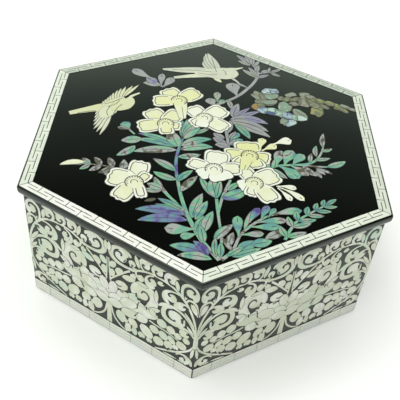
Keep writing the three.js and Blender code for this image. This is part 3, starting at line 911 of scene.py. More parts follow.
def lay_side_scroll():
    """Side scroll: vines, comma leaves and a flower of pale shell on each of the six sides."""
    shell, lines = side_drawing()
    scroll = lay("side_scroll", shell.mesh("side_scroll"), finish("scroll shell"),
                 BODY_FLAT, round_box=True)
    finish_piece(scroll, [f"side_scroll_{n}" for n in NUMBERS])
    cuts = lay("scroll_lines", lines.mesh("scroll_lines"), finish("polished lacquer"),
               BODY_FLAT, round_box=True)
    finish_piece(cuts, [])


# ---------------------------------------------------------------- flowers and birds of the lid
# Heights of the tops of the shell, in millimetres under the top of the lid.
LEAF_LEVEL = -0.27
ROCK_LEVEL = -0.165
BIRD_LEVEL = -0.16
PETAL_LEVEL = -0.17
CUP_LEVEL = -0.055      # eyes of the flowers
TUBE_LEVEL = -0.085     # their necks
BUD_LEVEL = -0.075
LINE_LEVEL = -0.045     # strokes on the eyes
LEAF_STEP = 0.008       # rise from one leaf to the next, and how many leaves until it starts again
LEAF_LAYERS = 13
ROCK_STEP = 0.005
ROCK_LAYERS = 18
FEATHER_STEP = 0.0035
PETAL_STEP = 0.012
FLOWER_STEP = 0.053     # rise of the flowers that lie over others

RIGHT_FERN = [(42.5, -86, 1.8), (46.5, -77, 1.6), (50.5, -70.5, 1.5), (56.5, -65, 1.3),
              (62, -60.6, 1.2), (67.5, -56, 1.0)]
LEFT_FERN = [(-46, -43, 1.4), (-53, -38.8, 1.3), (-62, -37, 1.2), (-72, -36.8, 1.0)]

# A stem is its (x, y, width) points, its tone and the tone at its end.
# A blade is foot x, y, tip x, y, width, sideways bow, tone and the tone at its tip.
GREEN_STEMS = [
    ([(-17.6, -42, 1.9), (-18.8, -32, 1.9), (-18.8, -23, 1.8), (-17.5, -12, 1.6),
      (-15.5, -3, 1.2)], 0.12, 0.3),
    ([(8, -104, 2.6), (-1, -92, 2.4), (-7, -80, 2.4), (-11.5, -68, 2.2), (-15, -55, 2),
      (-17.8, -40, 1.9)], 0.8, 0.46),
    ([(-26, -52, 2.6), (-21, -59, 1.8), (-15, -66, 1.4), (-10.5, -74, 1.2)], 0.85, 0.7),
    ([(8.5, -103, 1.8), (8.8, -88, 1.5), (7.4, -76, 1.5), (6.4, -67, 1.7), (5.6, -58, 1.8)],
     0.85, 0.62),
    ([(6.8, -70, 1.2), (8.6, -58, 1.6), (11, -49, 1.8), (13.5, -41, 1.4)], 0.6, 0.8),
    ([(9, -104, 2.2), (14.5, -97, 1.8), (17, -90, 1.6), (19.4, -84, 1.5), (24, -78, 1.7),
      (29, -73, 1.5), (34, -69, 1.2), (39, -67, 1.1)], 0.9, 0.62),
    (RIGHT_FERN, 0.45, 0.8),
    ([(31.5, -32, 2.2), (36, -28, 2.0), (42, -24.6, 1.8), (50, -23, 1.7), (59, -21, 1.8),
      (65, -17, 1.6), (69, -10, 1.3), (71.4, -2, 1.0)], 0.55, 0.7),
    ([(54, -22.2, 1.8), (62, -22.4, 1.6), (68, -22.4, 1.4), (73, -22, 1.0)], 0.7, 0.8),
    ([(-46, -5, 1.3), (-49, -1.6, 1.1), (-51, 1.4, 1.0)], 0.75, 0.7),
    ([(32, -12, 1.2), (36, -8, 1.2), (41, -3.4, 1.6)], 0.9, 0.9),
    (LEFT_FERN, 1.0, 0.95),
]
BLADES = [
    # cluster left of the main stem
    (-19, -17.5, -45, -22, 6.6, -1.5, 0.75, 0.98), (-20, -14.6, -45, -10, 5.2, -2, 0.5, 0.5),
    (-20, -14.4, -44, -4, 4.6, -2.6, 0.62, 0.28), (-41, -9, -53.4, -12.4, 7, 0, 0.5, 0.8),
    (-44.5, -16.4, -54.4, -27, 5.4, 1, 0.9, 0.8), (-18, -14, -24, 2, 8.4, 1, 0.5, 0.95),
    # leaves on the main stem, from the flowers down
    (-17, -17, 2.6, -12, 6.8, 2, 0.78, 0.5), (-16.6, -13, 1.6, -4, 6.4, 2, 0.76, 0.48),
    (-18, -23.6, -4.6, -20, 5.2, -0.6, 0.82, 0.8), (-18.6, -37, -32.6, -27.4, 5.2, -0.8, 0.6, 0.76),
    (-17.6, -44.6, -31.4, -39, 4.8, 0.8, 0.6, 0.76), (-17, -46, -8.6, -35.2, 4.2, 0.8, 0.5, 0.5),
    (-14.6, -54.4, -5.8, -40, 4.8, 0.6, 0.74, 0.74),
    # cup of the left flower
    (-25, -54, -30.4, -43.6, 3.8, 0.4, 0.85, 0.88), (-25, -54, -36, -54.8, 4.2, 0.6, 0.8, 0.76),
    (-25, -53.4, -34, -49.6, 5.4, 0, 0.78, 0.8),
    # violet leaves low on the left
    (-11.6, -69.6, -27, -61.4, 4.2, -0.4, 0.8, 0.1), (-11, -71.4, -28, -66, 4, 0, 0.8, 0.05),
    (-10.6, -73, -38.4, -71.4, 6.6, -2, 0.0, 0.36), (-9.6, -77, -36.4, -79.8, 6.8, -2, 0.08, 0.34),
    (-28, -62, -34, -64.4, 2.2, 0, 0.97, 0.97),
    (0, -100, -18, -96.4, 6.6, -1.2, 0.04, 0.55), (4, -104, -13.6, -103, 5.4, -1.4, 0.62, 0.85),
    (2, -101.6, -6, -92, 4.6, -1, 0.1, 0.1),
    # leaves between the two stems
    (-7.4, -75, -2.4, -54.8, 6, 0.8, 0.66, 0.6), (-5.6, -76, 0.6, -60.6, 5, 0.2, 0.62, 0.66),
    (-5, -85, -1, -72.4, 4.2, 0.4, 0.42, 0.5), (-0.6, -85, 3.8, -68.4, 5.4, 0.6, 0.82, 0.48),
    (-0.6, -93, -3, -80, 4.2, -0.4, 0.64, 0.6),
    # cup of the middle flower
    (5.4, -57.6, -4.4, -40, 4.4, 0.6, 0.68, 0.55), (5.6, -57.6, 2.6, -41, 7, 0.4, 0.84, 0.64),
    (5.8, -57.6, 7.6, -42, 3.8, 0, 0.55, 0.6),
    (8.6, -57.4, 23, -47.6, 7.6, -1, 0.3, 0.76), (12, -50.4, 18.4, -43, 3.8, 0.4, 0.76, 0.8),
    # round the root
    (5, -90, 14.8, -77.6, 5.2, 0.6, 0.82, 0.8), (6.2, -102, 5.8, -88, 3, 0.8, 0.64, 0.64),
    (8.4, -102, 8.6, -91.6, 3.6, 0, 0.62, 0.96), (12.4, -94.6, 15, -83.6, 4.2, 0.4, 0.96, 0.78),
    (14.4, -97, 9.6, -88.6, 2.6, 0, 0.95, 0.9),
    # low right: mosaic leaves
    (17, -98, 27.6, -88.6, 6.6, 0.6, 0.65, 0.6), (24.6, -91.4, 35.6, -87.6, 6.2, 0, 0.48, 0.66),
    (14.6, -101, 29.6, -93.4, 4.2, -0.4, 0.66, 0.74), (42, -79.8, 32, -86.2, 5.2, 0, 0.9, 0.96),
    (12, -101, 20.6, -93.4, 3.6, 0.4, 0.74, 0.65),
    (21, -80.6, 25.8, -65, 2.4, 0.4, 0.86, 0.9),
    # right fern
    (61.6, -19.4, 63.2, -10.4, 2.8, 0.4, 0.72, 0.76), (66, -13, 67, -2.2, 3, 0.9, 0.6, 0.72),
    (71, -3.4, 72.6, 11, 3.2, 0.6, 0.66, 0.84), (70, -7.6, 76.6, -4, 2.8, -0.2, 0.55, 0.84),
    (64.4, -16.6, 74.4, -13.6, 3, -0.3, 0.6, 0.66), (71.6, -22, 83.6, -15.4, 4.8, -0.8, 0.62, 0.8),
    (38, -27.6, 46.8, -35.8, 4.2, -0.5, 0.62, 0.62), (57, -23, 65, -31.4, 4.4, -0.8, 0.66, 0.8),
    (64.6, -24.6, 74, -28.4, 2.4, 0.6, 0.82, 0.84), (64.6, -26, 70, -29.6, 2.2, 0.4, 0.84, 0.84),
    (64, -27.4, 67.4, -33, 2.2, 0.3, 0.82, 0.84),
    (32.2, -31, 33.4, -23, 1.9, 0, 0.72, 0.74), (34.6, -29.4, 37.2, -21.6, 1.9, 0, 0.66, 0.7),
    (38.4, -27.6, 40, -19, 2.1, 0, 0.66, 0.7), (-10, 0, 0.6, 8.4, 3, -0.6, 0.72, 0.84),
]
SPOONS = [
    # leaves on a stalk, widest near their round tips
    (-5.6, -83, -21.6, -84, 7.8, 0.6, 0.48, 0.76), (-4.6, -86.4, -13, -89, 5.2, 0.6, 0.76, 0.52),
    (18, -86, 17.4, -70.6, 5.6, 0.3, 0.5, 0.5), (23.8, -75, 29.6, -63, 4.4, 0.4, 0.82, 0.12),
    (30.4, -71.6, 34.8, -60.6, 4.2, 0.4, 0.5, 0.46), (34.4, -69.8, 38.6, -62.4, 3, 0.2, 0.5, 0.6),
    (37, -67.6, 53.4, -62.4, 5.4, 0.8, 0.92, 0.46), (28, -74.6, 44.4, -71.4, 4.8, 0.6, 0.66, 0.64),
    (25, -78.2, 40.4, -76.2, 5.6, -0.2, 0.66, 0.42), (19.6, -84.6, 31.4, -82.6, 4.6, 0, 0.5, 0.8),
    (41, -25, 45, -10, 6.4, 0.8, 0.66, 0.86), (46, -23.4, 51.8, -9, 7.6, 0.8, 0.64, 0.66),
    (51, -22.6, 58.4, -12, 6.4, 0.6, 0.66, 0.76), (43, -25, 53.8, -35, 8.6, 0.8, 0.4, 0.58),
    (50, -24, 59.6, -31.8, 6.2, 0.9, 0.7, 0.86), (13, -4, 18.6, 4.6, 4.6, 0.2, 0.6, 0.58),
    (14, -8.4, 20.8, -1.8, 4.8, 0.2, 0.66, 0.56), (-49.6, -1, -54, 6.6, 6.4, 0, 0.5, 0.46),
    (-49, -0.4, -57, 0.6, 3.4, 0, 0.8, 0.8),
]
FERNS = [
    # stem, where on it the leaflets start and end, leaflets a side, their reach on
    # the left and on the right, lean from the stem, width, tone and the tone at their tips
    (RIGHT_FERN, 0.05, 0.94, 6, 8.4, 12, 44, 4, 0.5, 0.72),
    (LEFT_FERN, 0.16, 0.9, 4, 10.6, 10.4, 56, 4.6, 0.93, 0.9),
]
FAN_FOOT = (-15.8, -6)
FAN_TIPS = [(-17.6, 13), (-14.4, 14.6), (-11.2, 12.6), (-8.6, 10), (-6, 6.6)]
FAN_WIDTH = 4.4
SPOON = 2.0             # how far towards its tip a spoon leaf is widest
BUD_SPOON = 2.8
VEIN = 1.3              # width of a vein against an engraved line
EDGING = 2.4            # how much wider the dark under a feather or a fan leaf is, likewise
FERN_TAPER = 0.32       # how much smaller the last pair of leaflets is than the first
FERN_CLOSE = 0.2        # and how much closer to the stem it lies
FERN_BOW = 0.45
FERN_END = 0.7          # width of the leaflet at the tip against the others
VEINED = 2.7            # a leaf slimmer than this has no vein

GREY_STEMS = [
    ([(4, 35, 1.2), (12, 40, 1.8), (19, 47, 2.2), (25, 56, 2.2), (29.4, 64, 2.0),
      (32, 72, 2.0), (32.2, 80, 1.8), (28.6, 89, 1.6)], 0.45, 0.5),
    ([(10.6, 6, 2.2), (11.6, -4, 1.8), (12.4, -12, 1.4)], 0.4, 0.4),
    ([(-32.6, 49.6, 1.6), (-39, 56, 1.6), (-48, 65, 1.4)], 0.5, 0.55),
    ([(32, 76, 1.6), (40, 79, 1.6), (44, 80, 1.2)], 0.4, 0.4),
]
GREY_BLADES = [
    # sword leaves
    (14.6, 21, 18.4, 37, 5.6, 0.4, 0.3, 0.4), (15, 20, 26, 33, 3.4, 0.4, 0.3, 0.25),
    (16, 19, 33, 30, 4, 0.8, 0.35, 0.05), (13, 18.6, 37.6, 16.6, 7, 3.2, 0.5, 0.08),
    (13, 17, 37.4, 8.6, 6.8, 2.2, 0.4, 0.45), (14, 15.4, 38.4, 2.8, 6.4, 1.4, 0.5, 0.5),
    (16, 13.4, 25.4, -0.6, 5, 1.2, 0.9, 0.95), (13, 17, 12, 4, 4.6, 0, 0.4, 0.5),
    # below the right-hand flower
    (9.6, -2, 2.6, 2.4, 4.6, 0.4, 0.45, 0.5), (10.8, -7, 2.4, -2, 4.8, 0.4, 0.4, 0.45),
    (11.4, -11, 3.8, -9.4, 5.6, -1.2, 0.45, 0.5), (12.2, -2, 16.6, 5.6, 2.8, 0, 0.4, 0.45),
    (12.2, -8.6, 16.6, -2, 2.2, 0, 0.4, 0.45),
    # back branch
    (11.4, 40, 13.4, 30.6, 3.4, 0.6, 0.5, 0.45), (31.4, 70.6, 21.4, 80, 3.6, -0.4, 0.7, 0.55),
    (31.6, 72, 26, 83.6, 3.2, -0.4, 0.6, 0.55), (32.4, 70.4, 40.4, 75.6, 3.2, 0.5, 0.45, 0.5),
    (27.4, 87, 17.4, 99, 4, -0.6, 0.5, 0.5), (27, 86, 18.4, 91.4, 3.4, -0.4, 0.5, 0.55),
    (28.4, 88, 23.6, 101, 3.8, 0, 0.45, 0.5), (29, 87.4, 29.6, 97.6, 3.6, 0.4, 0.45, 0.5),
    (31.8, 78, 33.4, 87.4, 3.6, 0.5, 0.5, 0.55), (30.4, 86, 33.8, 93.4, 2.6, 0, 0.5, 0.5),
    (35, 77, 41.4, 81.6, 3.8, 0.5, 0.4, 0.45), (40, 79, 41.4, 85.6, 2, 0, 0.45, 0.45),
    (41.6, 79, 49.4, 84.6, 2.8, 0, 0.4, 0.45), (41.6, 79, 48.4, 75.2, 2.8, -0.4, 0.45, 0.5),
    (21, 58, 16, 65.6, 2, 0, 0.45, 0.5), (24.6, 57, 17.8, 62.6, 1.6, 0, 0.45, 0.5),
    # back left sprig
    (-34.6, 51, -46.4, 52.6, 6.4, -1, 0.5, 0.6), (-37, 54, -44.6, 60, 7, 0.4, 0.05, 0.4),
]
GREY_SPOONS = [
    (17.6, 46.6, 14.4, 61.6, 9.6, 0.8, 0.5, 0.55), (3.4, 32, -1, 40.6, 7, 0.6, 0.72, 0.45),
    (4.4, 37, 4.2, 48.6, 4.8, 0, 0.9, 0.5), (5, 33, 8.8, 40, 4.4, 0, 0.45, 0.95),
    (-32.6, 49.6, -27, 62, 6, -0.4, 0.5, 0.5), (-34, 51, -34.2, 66, 4.8, 0.4, 0.45, 0.5),
    (-41, 59, -55, 69, 7.4, 0.8, 0.75, 0.5),
]


def blade(x, y, tip_x, tip_y, width, bow=0.0, spoon=0.0, steps=10):
    """A leaf from its foot to its tip along a bowed line, slim at its foot if it is a spoon."""
    foot = Vector((x, y))
    run = Vector((tip_x, tip_y)) - foot
    side = Vector((-run.y, run.x)).normalized()
    line = []
    for i in range(steps + 1):
        t = i / steps
        if spoon:
            swell = max(math.sin(math.pi * t ** spoon) ** 0.6, 0.2 * (1 - t))
        else:
            swell = math.sin(math.pi * t ** 0.9) ** 0.8
        spot = foot + run * t + side * bow * 4 * t * (1 - t)
        line.append((spot.x, spot.y, max(width * swell, BLADE_END)))
    return line


def fern_blades(route, start, end, count, left, right, lean, width, tone, tone_end):
    """Leaflets in pairs along a stem, shorter and closer to it towards its tip, and one there."""
    line = smooth([spot[:2] for spot in route], 12)
    last = len(line) - 1
    leaflets = []
    for i in range(count):
        t = i / (count - 1)
        place = round((start + (end - start) * t) * last)
        foot = line[place]
        run = line[min(place + 1, last)] - line[place - 1]
        along = math.degrees(math.atan2(run.y, run.x))
        small = 1 - FERN_TAPER * t
        for side, reach in ((1, left), (-1, right)):
            tip = foot + ray(along + side * lean * (1 - FERN_CLOSE * t), reach * small)
            leaflets.append((*foot, *tip, width * small, FERN_BOW * side, tone, tone_end))
    run = (line[last] - line[last - 2]).normalized()
    leaflets.append((*line[last], *(line[last] + run * left), width * FERN_END, 0, tone, tone_end))
    return leaflets


def draw_foliage(stems, blades, spoons, seed):
    """Stems, then leaves with an engraved vein each, laid over one another in turn."""
    shell, lines = Bands(), Bands()
    engraving = sizes().engraving / MM
    chance = random.Random(seed)
    for points, tone, tone_end in stems:
        shell.add(smooth(points, 4), tone, LEAF_LEVEL - LEAF_STEP, tone_end)
    leaves = [(each, 0.0) for each in blades] + [(each, SPOON) for each in spoons]
    for i, ((*shape, tone, tone_end), spoon) in enumerate(leaves):
        level = LEAF_LEVEL + LEAF_STEP * (i % LEAF_LAYERS)
        line = blade(*shape, spoon=spoon)
        shift = chance.uniform(-0.05, 0.05)
        shell.add(line, tone + shift, level, tone_end + shift)
        lines.add(widened(line, 2 * engraving), 0.5, level - LEAF_STEP / 2)
        vein = line[7:10] if spoon else line[1:9]
        if shape[4] > VEINED:
            lines.add(stroke(vein, engraving * VEIN), 0.5, level + LEAF_STEP / 2)
    return shell, lines


def lay_green_leaves():
    """Green leaves: stems and leaves of blue-green shell round the flowers."""
    leaflets = [each for fern in FERNS for each in fern_blades(*fern)]
    shell, lines = draw_foliage(GREEN_STEMS, BLADES + leaflets, SPOONS, 21)
    engraving = sizes().engraving / MM
    for i, tip in enumerate(FAN_TIPS):
        rib = blade(*FAN_FOOT, *tip, FAN_WIDTH)
        level = LEAF_LEVEL + LEAF_STEP * (i + LEAF_LAYERS)
        shell.add(rib, 0.5 + 0.04 * i, level)
        lines.add(widened(rib, EDGING * engraving), 0.5, level - LEAF_STEP / 2)
    leaves = lay("green_leaves", shell.mesh("green_leaves"), finish("leaf shell"), TOP)
    finish_piece(leaves, [
        "main_spray", "left_spray", "middle_spray", "low_right_spray", "right_spray",
        "far_right_spray", "left_sprig"])
    veins = lay("leaf_veins", lines.mesh("leaf_veins"), finish("engraved line"), TOP)
    finish_piece(veins, [])


def lay_grey_leaves():
    """Grey leaves: the branch at the back, its sprig and the sword leaves."""
    shell, lines = draw_foliage(GREY_STEMS, GREY_BLADES, GREY_SPOONS, 33)
    leaves = lay("grey_leaves", shell.mesh("grey_leaves"), finish("grey shell"), TOP)
    finish_piece(leaves, ["back_branch", "back_sprig", "sword_leaves"])
    veins = lay("grey_veins", lines.mesh("grey_veins"), finish("engraved line"), TOP)
    finish_piece(veins, [])


# ---------------------------------------------------------------- rock
STONES = [
    # x, y, heading, length, width, tone
    (31.6, 48.6, 80, 10, 9, 0.62), (34, 42, 0, 10, 6.4, 0.66), (39.6, 41.4, 12, 13, 7, 0.62),
    (38, 48, 60, 10, 8, 0.66), (41.6, 50, 70, 12, 9, 0.5), (38.6, 54.6, 20, 10, 8, 0.3),
    (43, 55, -30, 8, 6, 0.2), (47.6, 47, 60, 6, 5, 0.64), (54, 52.4, 15, 9, 5, 0.6),
    (51.6, 46.6, 30, 7, 6, 0.76), (57, 47.4, 30, 9, 5, 0.74), (56.6, 42, 0, 10, 5.6, 0.66),
    (63.6, 54, 0, 8, 5, 0.62), (68, 51, -40, 9, 4.6, 0.7), (63, 45, 84, 13, 8.4, 0.7),
    (68.6, 44.6, -60, 12, 8, 0.76), (74, 47.6, -25, 11, 5.6, 0.72), (80.4, 45.4, -30, 8, 5.4, 0.74),
    (76, 41, -30, 8, 4.6, 0.78), (85.4, 42.4, -40, 9, 6, 0.82), (88, 39.4, -40, 9, 4.6, 0.78),
    (90.6, 43.4, -25, 9, 4, 0.64), (95, 40.8, -20, 7, 3.4, 0.62), (70.8, 35.4, 80, 12, 9.6, 0.85),
    (30.2, 34.8, 80, 7, 5.6, 1.0), (33.8, 37, 70, 6, 5, 0.8), (51.2, 20.6, 0, 11.6, 10.6, 0.3),
    (48.2, 21.4, 80, 9, 5, 0.6), (58.8, 31.2, -52, 13, 7.4, 0.6), (49.4, 36.8, 60, 13.4, 10.4, 0.48),
    (35.4, 31.4, -18, 9, 7.6, 0.24), (41.4, 32, -18, 9, 6, 0.36), (39.6, 28.6, -18, 8.4, 4, 0.12),
    (46.4, 29, -18, 9, 7.6, 0.42), (51.8, 27.2, -18, 8.6, 8, 0.25), (58, 25.4, -18, 10, 7.6, 0.37),
]
STROKES = [
    # engraved arcs across the chips
    [(40.4, 55.6), (44.6, 54), (46.2, 50.4)], [(36.4, 51), (39.4, 53), (42.6, 51.4)],
    [(49.4, 32.4), (50.8, 30), (50.2, 27.2)], [(55.4, 29), (57.2, 26.6), (56.8, 24)],
    [(43.8, 34.4), (42.6, 32), (44.2, 29.6)], [(36, 38.6), (40, 38.8), (44.6, 40.6)],
    [(35.4, 45.2), (39.4, 44.2), (43.2, 46)], [(47.6, 44.8), (50.6, 43.6), (53.6, 44.6)],
    [(54, 45.4), (57, 44.6), (60, 41)], [(60.2, 49.8), (61, 44.6), (59.6, 40)],
    [(66, 49.4), (70, 46.2), (74, 42)], [(70.4, 49), (76, 45.4), (80.6, 42)],
    [(66.4, 42), (66, 46), (64.6, 49)], [(81.4, 42.8), (85, 41), (88.4, 37)],
    [(38, 31.2), (41, 30), (44, 28.6)], [(47, 25.4), (50.6, 23.8), (55, 23.6)],
    [(56.4, 33.6), (59.6, 30.4), (62.4, 28.6)], [(33.4, 51.6), (32.4, 48), (33.8, 45)],
]


CHIP_REACH = (0.74, 1.16)      # least and greatest reach of a chip's corners
STROKE = 1.6            # width of a stroke on the rock against an engraved line


def chip(x, y, heading, length, width, chance, corners=11):
    """An irregular chip of shell."""
    outline = []
    for i in range(corners):
        angle = 2 * math.pi * i / corners
        reach = chance.uniform(*CHIP_REACH) / 2
        spot = Vector((x, y)) + ray(heading, math.cos(angle) * reach * length)
        outline.append(spot + ray(heading + 90, math.sin(angle) * reach * width))
    return [tuple(p) for p in smooth(outline, 2, closed=True)]


def lay_rock():
    """Rock: overlapping chips of mixed shell with engraved strokes."""
    chance = random.Random(8)
    plates, lines = Plates(), Bands()
    line = sizes().engraving / MM
    for i, (x, y, heading, length, width, tone) in enumerate(STONES):
        level = ROCK_LEVEL + ROCK_STEP * (i % ROCK_LAYERS)
        outline = chip(x, y, heading, length, width, chance)
        plates.add(outline, tone + chance.uniform(-0.03, 0.03), level)
        lines.add(stroke([*outline, outline[0]], line * 2), 0.5, level - ROCK_STEP / 2)
    for points in STROKES:
        lines.add(stroke(smooth(points), line * STROKE), 0.5, ROCK_LEVEL + ROCK_STEP * (ROCK_LAYERS + 2))
    rock = lay("rock_chips", plates.mesh("rock_chips"), finish("rock shell"), TOP, bands=False)
    finish_piece(rock, ["rock"])
    strokes = lay("rock_lines", lines.mesh("rock_lines"), finish("engraved line"), TOP)
    finish_piece(strokes, [])


# ---------------------------------------------------------------- birds
WINGS = [
    # feet from, feet to, route of the feather tips, feathers, width, tone
    ((-56.8, 34.4), (-68.6, 24.6), [(-49, 49.2), (-58, 45.4), (-63.6, 39), (-66.6, 32.6),
                                    (-69.4, 27)], 10, 2.1, 0.75),
    ((-62.8, 12.6), (-70.4, 17), [(-67, -8.8), (-71.4, -3.4), (-72.6, 4.4), (-72.8, 12)],
     7, 2.3, 0.5),
    ((6, 75), (-2, 76), [(-3.8, 98.6), (-6, 96), (-6, 88)], 4, 5.4, 0.2),
]
BIRD_PARTS = [
    # tone, then (x, y, width) along tails, wing roots, legs, bodies, heads and beaks
    (0.9, [(-60, 24, 9), (-70, 20, 8), (-78, 16.6, 5.8), (-89, 11.2, 3.6)]),
    (0.6, [(-60, 23, 5), (-64, 19, 10), (-66.6, 13.6, 9), (-67.6, 9, 4)]),
    (0.85, [(-70.4, 22, 1), (-66, 24.6, 5), (-61, 28.6, 6.4), (-56.8, 33, 3.4)]),
    (0.9, [(-64, 18.6, 3), (-60, 22, 9.6), (-56.6, 25.6, 12.4), (-53.6, 29, 9), (-52.6, 33.4, 3.4)]),
    (0.7, [(-53.2, 31.6, 2.6), (-52.2, 35.4, 2.2), (-47.4, 39.8, 1.4)]),
    (0.3, [(4, 74, 7), (-10, 74, 7.4), (-22, 72.4, 6), (-34.4, 71.6, 2)]),
    (0.5, [(4, 69.4, 5), (-12, 66.4, 4.4), (-26, 62, 2.6)]),
    (0.8, [(1.4, 66.6, 2), (4, 64, 3.6), (6.6, 61, 1.4)]),
    (0.1, [(14.6, 66.6, 2.4), (17.4, 63.6, 1.6), (19.8, 59.6, 0.8)]),
    (0.4, [(-12, 72, 6), (0, 71.6, 12), (8, 72.4, 14.6), (14, 73.4, 12.4), (18.4, 74.6, 4)]),
    (0.4, [(8, 75, 7), (14, 78.2, 5.4), (17.4, 79.8, 2.6), (22, 82.2, 1)]),
]
FEATHER_LINES = [
    [(-57.4, 25.4), (-60.2, 19.6), (-61.8, 11.6)], [(-65, 21.6), (-66, 16), (-64.6, 11.4)],
    [(-68.4, 23.8), (-63, 27.6), (-57.6, 32.6)], [(-66, 21.4), (-61.4, 25), (-59.4, 29.4)],
    [(-84, 11.6), (-79, 14), (-73, 15.8)], [(-0.8, 92), (1, 84), (3.2, 73.6)],
    [(-28, 71.8), (-12, 73.4), (0, 73)], [(10.4, 72.6), (9.6, 70.6)],
    [(7.4, 77), (9.4, 75), (9.4, 72.4)], [(-10, 70.4), (-2, 69.6), (4, 71)],
]


def lay_birds():
    """Birds: two small birds of cream shell in flight, their wings of single feathers."""
    shell, lines = Bands(), Bands()
    engraving = sizes().engraving / MM
    level = BIRD_LEVEL
    for start, end, tips, count, width, tone in WINGS:
        route = smooth(tips, 12)
        for i in reversed(range(count)):
            t = i / (count - 1)
            foot = Vector(start).lerp(Vector(end), t)
            tip = route[round(t * (len(route) - 1))]
            feather = blade(*foot, *tip, width, 0.3)
            level += FEATHER_STEP
            lines.add(widened(feather, engraving * EDGING), 0.5, level - FEATHER_STEP / 2)
            shell.add(feather, tone + 0.1 * (i % 2), level)
    for tone, part in BIRD_PARTS:
        level += FEATHER_STEP
        line = smooth(part)
        lines.add(widened(line, engraving), 0.5, level - FEATHER_STEP / 2)
        shell.add(line, tone, level)
    for points in FEATHER_LINES:
        lines.add(stroke(smooth(points, 5), engraving * VEIN), 0.5, level + FEATHER_STEP)
    birds = lay("birds", shell.mesh("birds"), finish("bird shell"), TOP)
    finish_piece(birds, ["bird_1", "bird_2"])
    strokes = lay("bird_lines", lines.mesh("bird_lines"), finish("engraved line"), TOP)
    finish_piece(strokes, [])


# ---------------------------------------------------------------- blossoms
BLOSSOMS = [
    # tone, layer, eye x, y, heading of the stamens, then petals: foot x, y, heading, reach, width
    (0.66, 0, -20.8, 35, 70, [(-22.6, 37, 127, 13.2, 13.4), (-19, 37, 46, 15.4, 13.8),
                              (-24, 34.6, 190, 14.6, 12.6)]),
    (0.34, 0, -3.4, 17.6, 60, [(-5.4, 19, 128, 13, 12.8), (-2, 18, 48, 17, 14.4),
                               (-1, 16, -36, 15.4, 13.4), (-4.4, 16, 222, 10, 10),
                               (-4, 16, 262, 8.4, 8)]),
    (0.54, 0, -27.8, 8, 95, [(-30, 10, 128, 15.6, 13.6), (-27.6, 9.6, 60, 15.6, 12.8),
                             (-30, 8, 201, 16.4, 13.4), (-26.6, 7, -2, 9, 9.4),
                             (-28, 6, 284, 9, 9.4)]),
    (0.7, 0, 25, -17.6, 80, [(24.4, -14, 96, 10.8, 16.6), (22, -17, 180, 13.4, 11),
                              (28, -18, -6, 10, 11.6), (22.6, -20, 236, 9.6, 10.4),
                              (27, -21, 292, 8.6, 11)]),
    (0.30, 1, 3.6, -32.8, 88, [(4.6, -28.4, 84, 13.6, 15.4), (0, -31.6, 160, 13, 10.4),
                               (8, -31.6, 6, 12.6, 11.6), (1, -35, 214, 7.6, 9.6),
                               (6, -35, 296, 8, 14)]),
    (0.42, 1, 27.2, -42.4, 65, [(25.6, -39.4, 118, 11.4, 10.4), (29, -40, 32, 14.8, 15),
                                (25.4, -43, 206, 8, 9.6), (27, -45, 254, 9.4, 8.4),
                                (30.6, -45, 302, 14.6, 12.4)]),
    (0.42, 0, -41.4, -49.6, 110, [(-40.8, -46, 84, 16, 12.4), (-43, -47.6, 172, 14.6, 15.6),
                                  (-43, -52, 244, 14.6, 12), (-38.4, -48.4, 60, 9, 7.6),
                                  (-39, -51, 286, 12, 7)]),
]
CUP = 5.0               # radius of the ring of stamens
ENGRAVED = 8.5          # a petal shorter than this has no line inside its edge
PETAL_EDGE = 1.6        # widths of a petal's edging, inner line and stamens against an engraving
PETAL_LINE = 1.7
STAMEN = 1.4
STAMEN_LENGTH = 1.3
EDGE_DARKER = 0.42      # how much lower the tone of a petal's rim is than that of its middle
TUBE_RIB = 0.6          # from the middle of a neck to the line engraved along it
TUBES = [
    # necks of two flowers: tone, then (x, y, width)
    (0.5, [(-20, 32, 9), (-18.6, 24, 7), (-17.4, 15, 4)]),
    (0.7, [(23, -22, 7), (20.8, -31, 4)]),
]
BUDS = [
    # foot x, y, tip x, y, width, bow, tone
    (31.6, -10, 33.4, 1, 5.4, 0, 0.66), (32.6, -11.6, 42, -5.4, 5.6, 0.6, 0.7),
    (39.6, -4.6, 51.6, 1, 7.2, 0.8, 0.25), (40, -43.6, 51.6, -44.6, 4.2, 0.9, 0.3),
    (40.6, -45, 48.2, -55, 3.8, 0.4, 0.3), (41, -44.2, 55.4, -54.2, 4.4, 1.2, 0.36),
]
CRESCENT = (-71.6, -35.6, -85.4, -39.6, 4.2, -1.4)      # pale bud beyond the left flower
PETAL = [(-0.06, -0.3), (0.18, -0.46), (0.5, -0.51), (0.76, -0.5), (0.94, -0.38),
         (0.93, -0.18), (1.0, -0.02), (0.95, 0.17), (0.97, 0.36), (0.8, 0.5), (0.5, 0.51),
         (0.18, 0.46), (-0.06, 0.3)]
PETAL_RIM = 1.5         # from a petal's edge to the line engraved inside it


def petal_outline(x, y, heading, reach, width, inset=0.0):
    """A petal with a notch in its tip, or the line that runs inside its edge."""
    along, across = ray(heading), ray(heading + 90)
    narrow = 1 - 2 * inset / width
    spots = [Vector((x, y)) + along * px * (reach - inset) + across * py * narrow * width
             for px, py in PETAL]
    return smooth(spots, 3)


def draw_stamens(lines, x, y, heading, width):
    """A ring of short strokes round the eye of a flower, and two arcs inside it."""
    eye = Vector((x, y))
    for turn in range(-100, 101, 20):
        out = ray(heading + turn)
        ends = [eye + out * (CUP - STAMEN_LENGTH), eye + out * CUP]
        lines.add(stroke(ends, width * STAMEN), 0.5, LINE_LEVEL + CLIMB)
    for radius, half, share in ((CUP + 0.3, 120, 1.8), (2.0, 110, 1.5)):
        arc = [eye + ray(heading + turn, radius) for turn in range(-half, half + 1, 20)]
        lines.add(stroke(arc, width * share), 0.5, LINE_LEVEL)


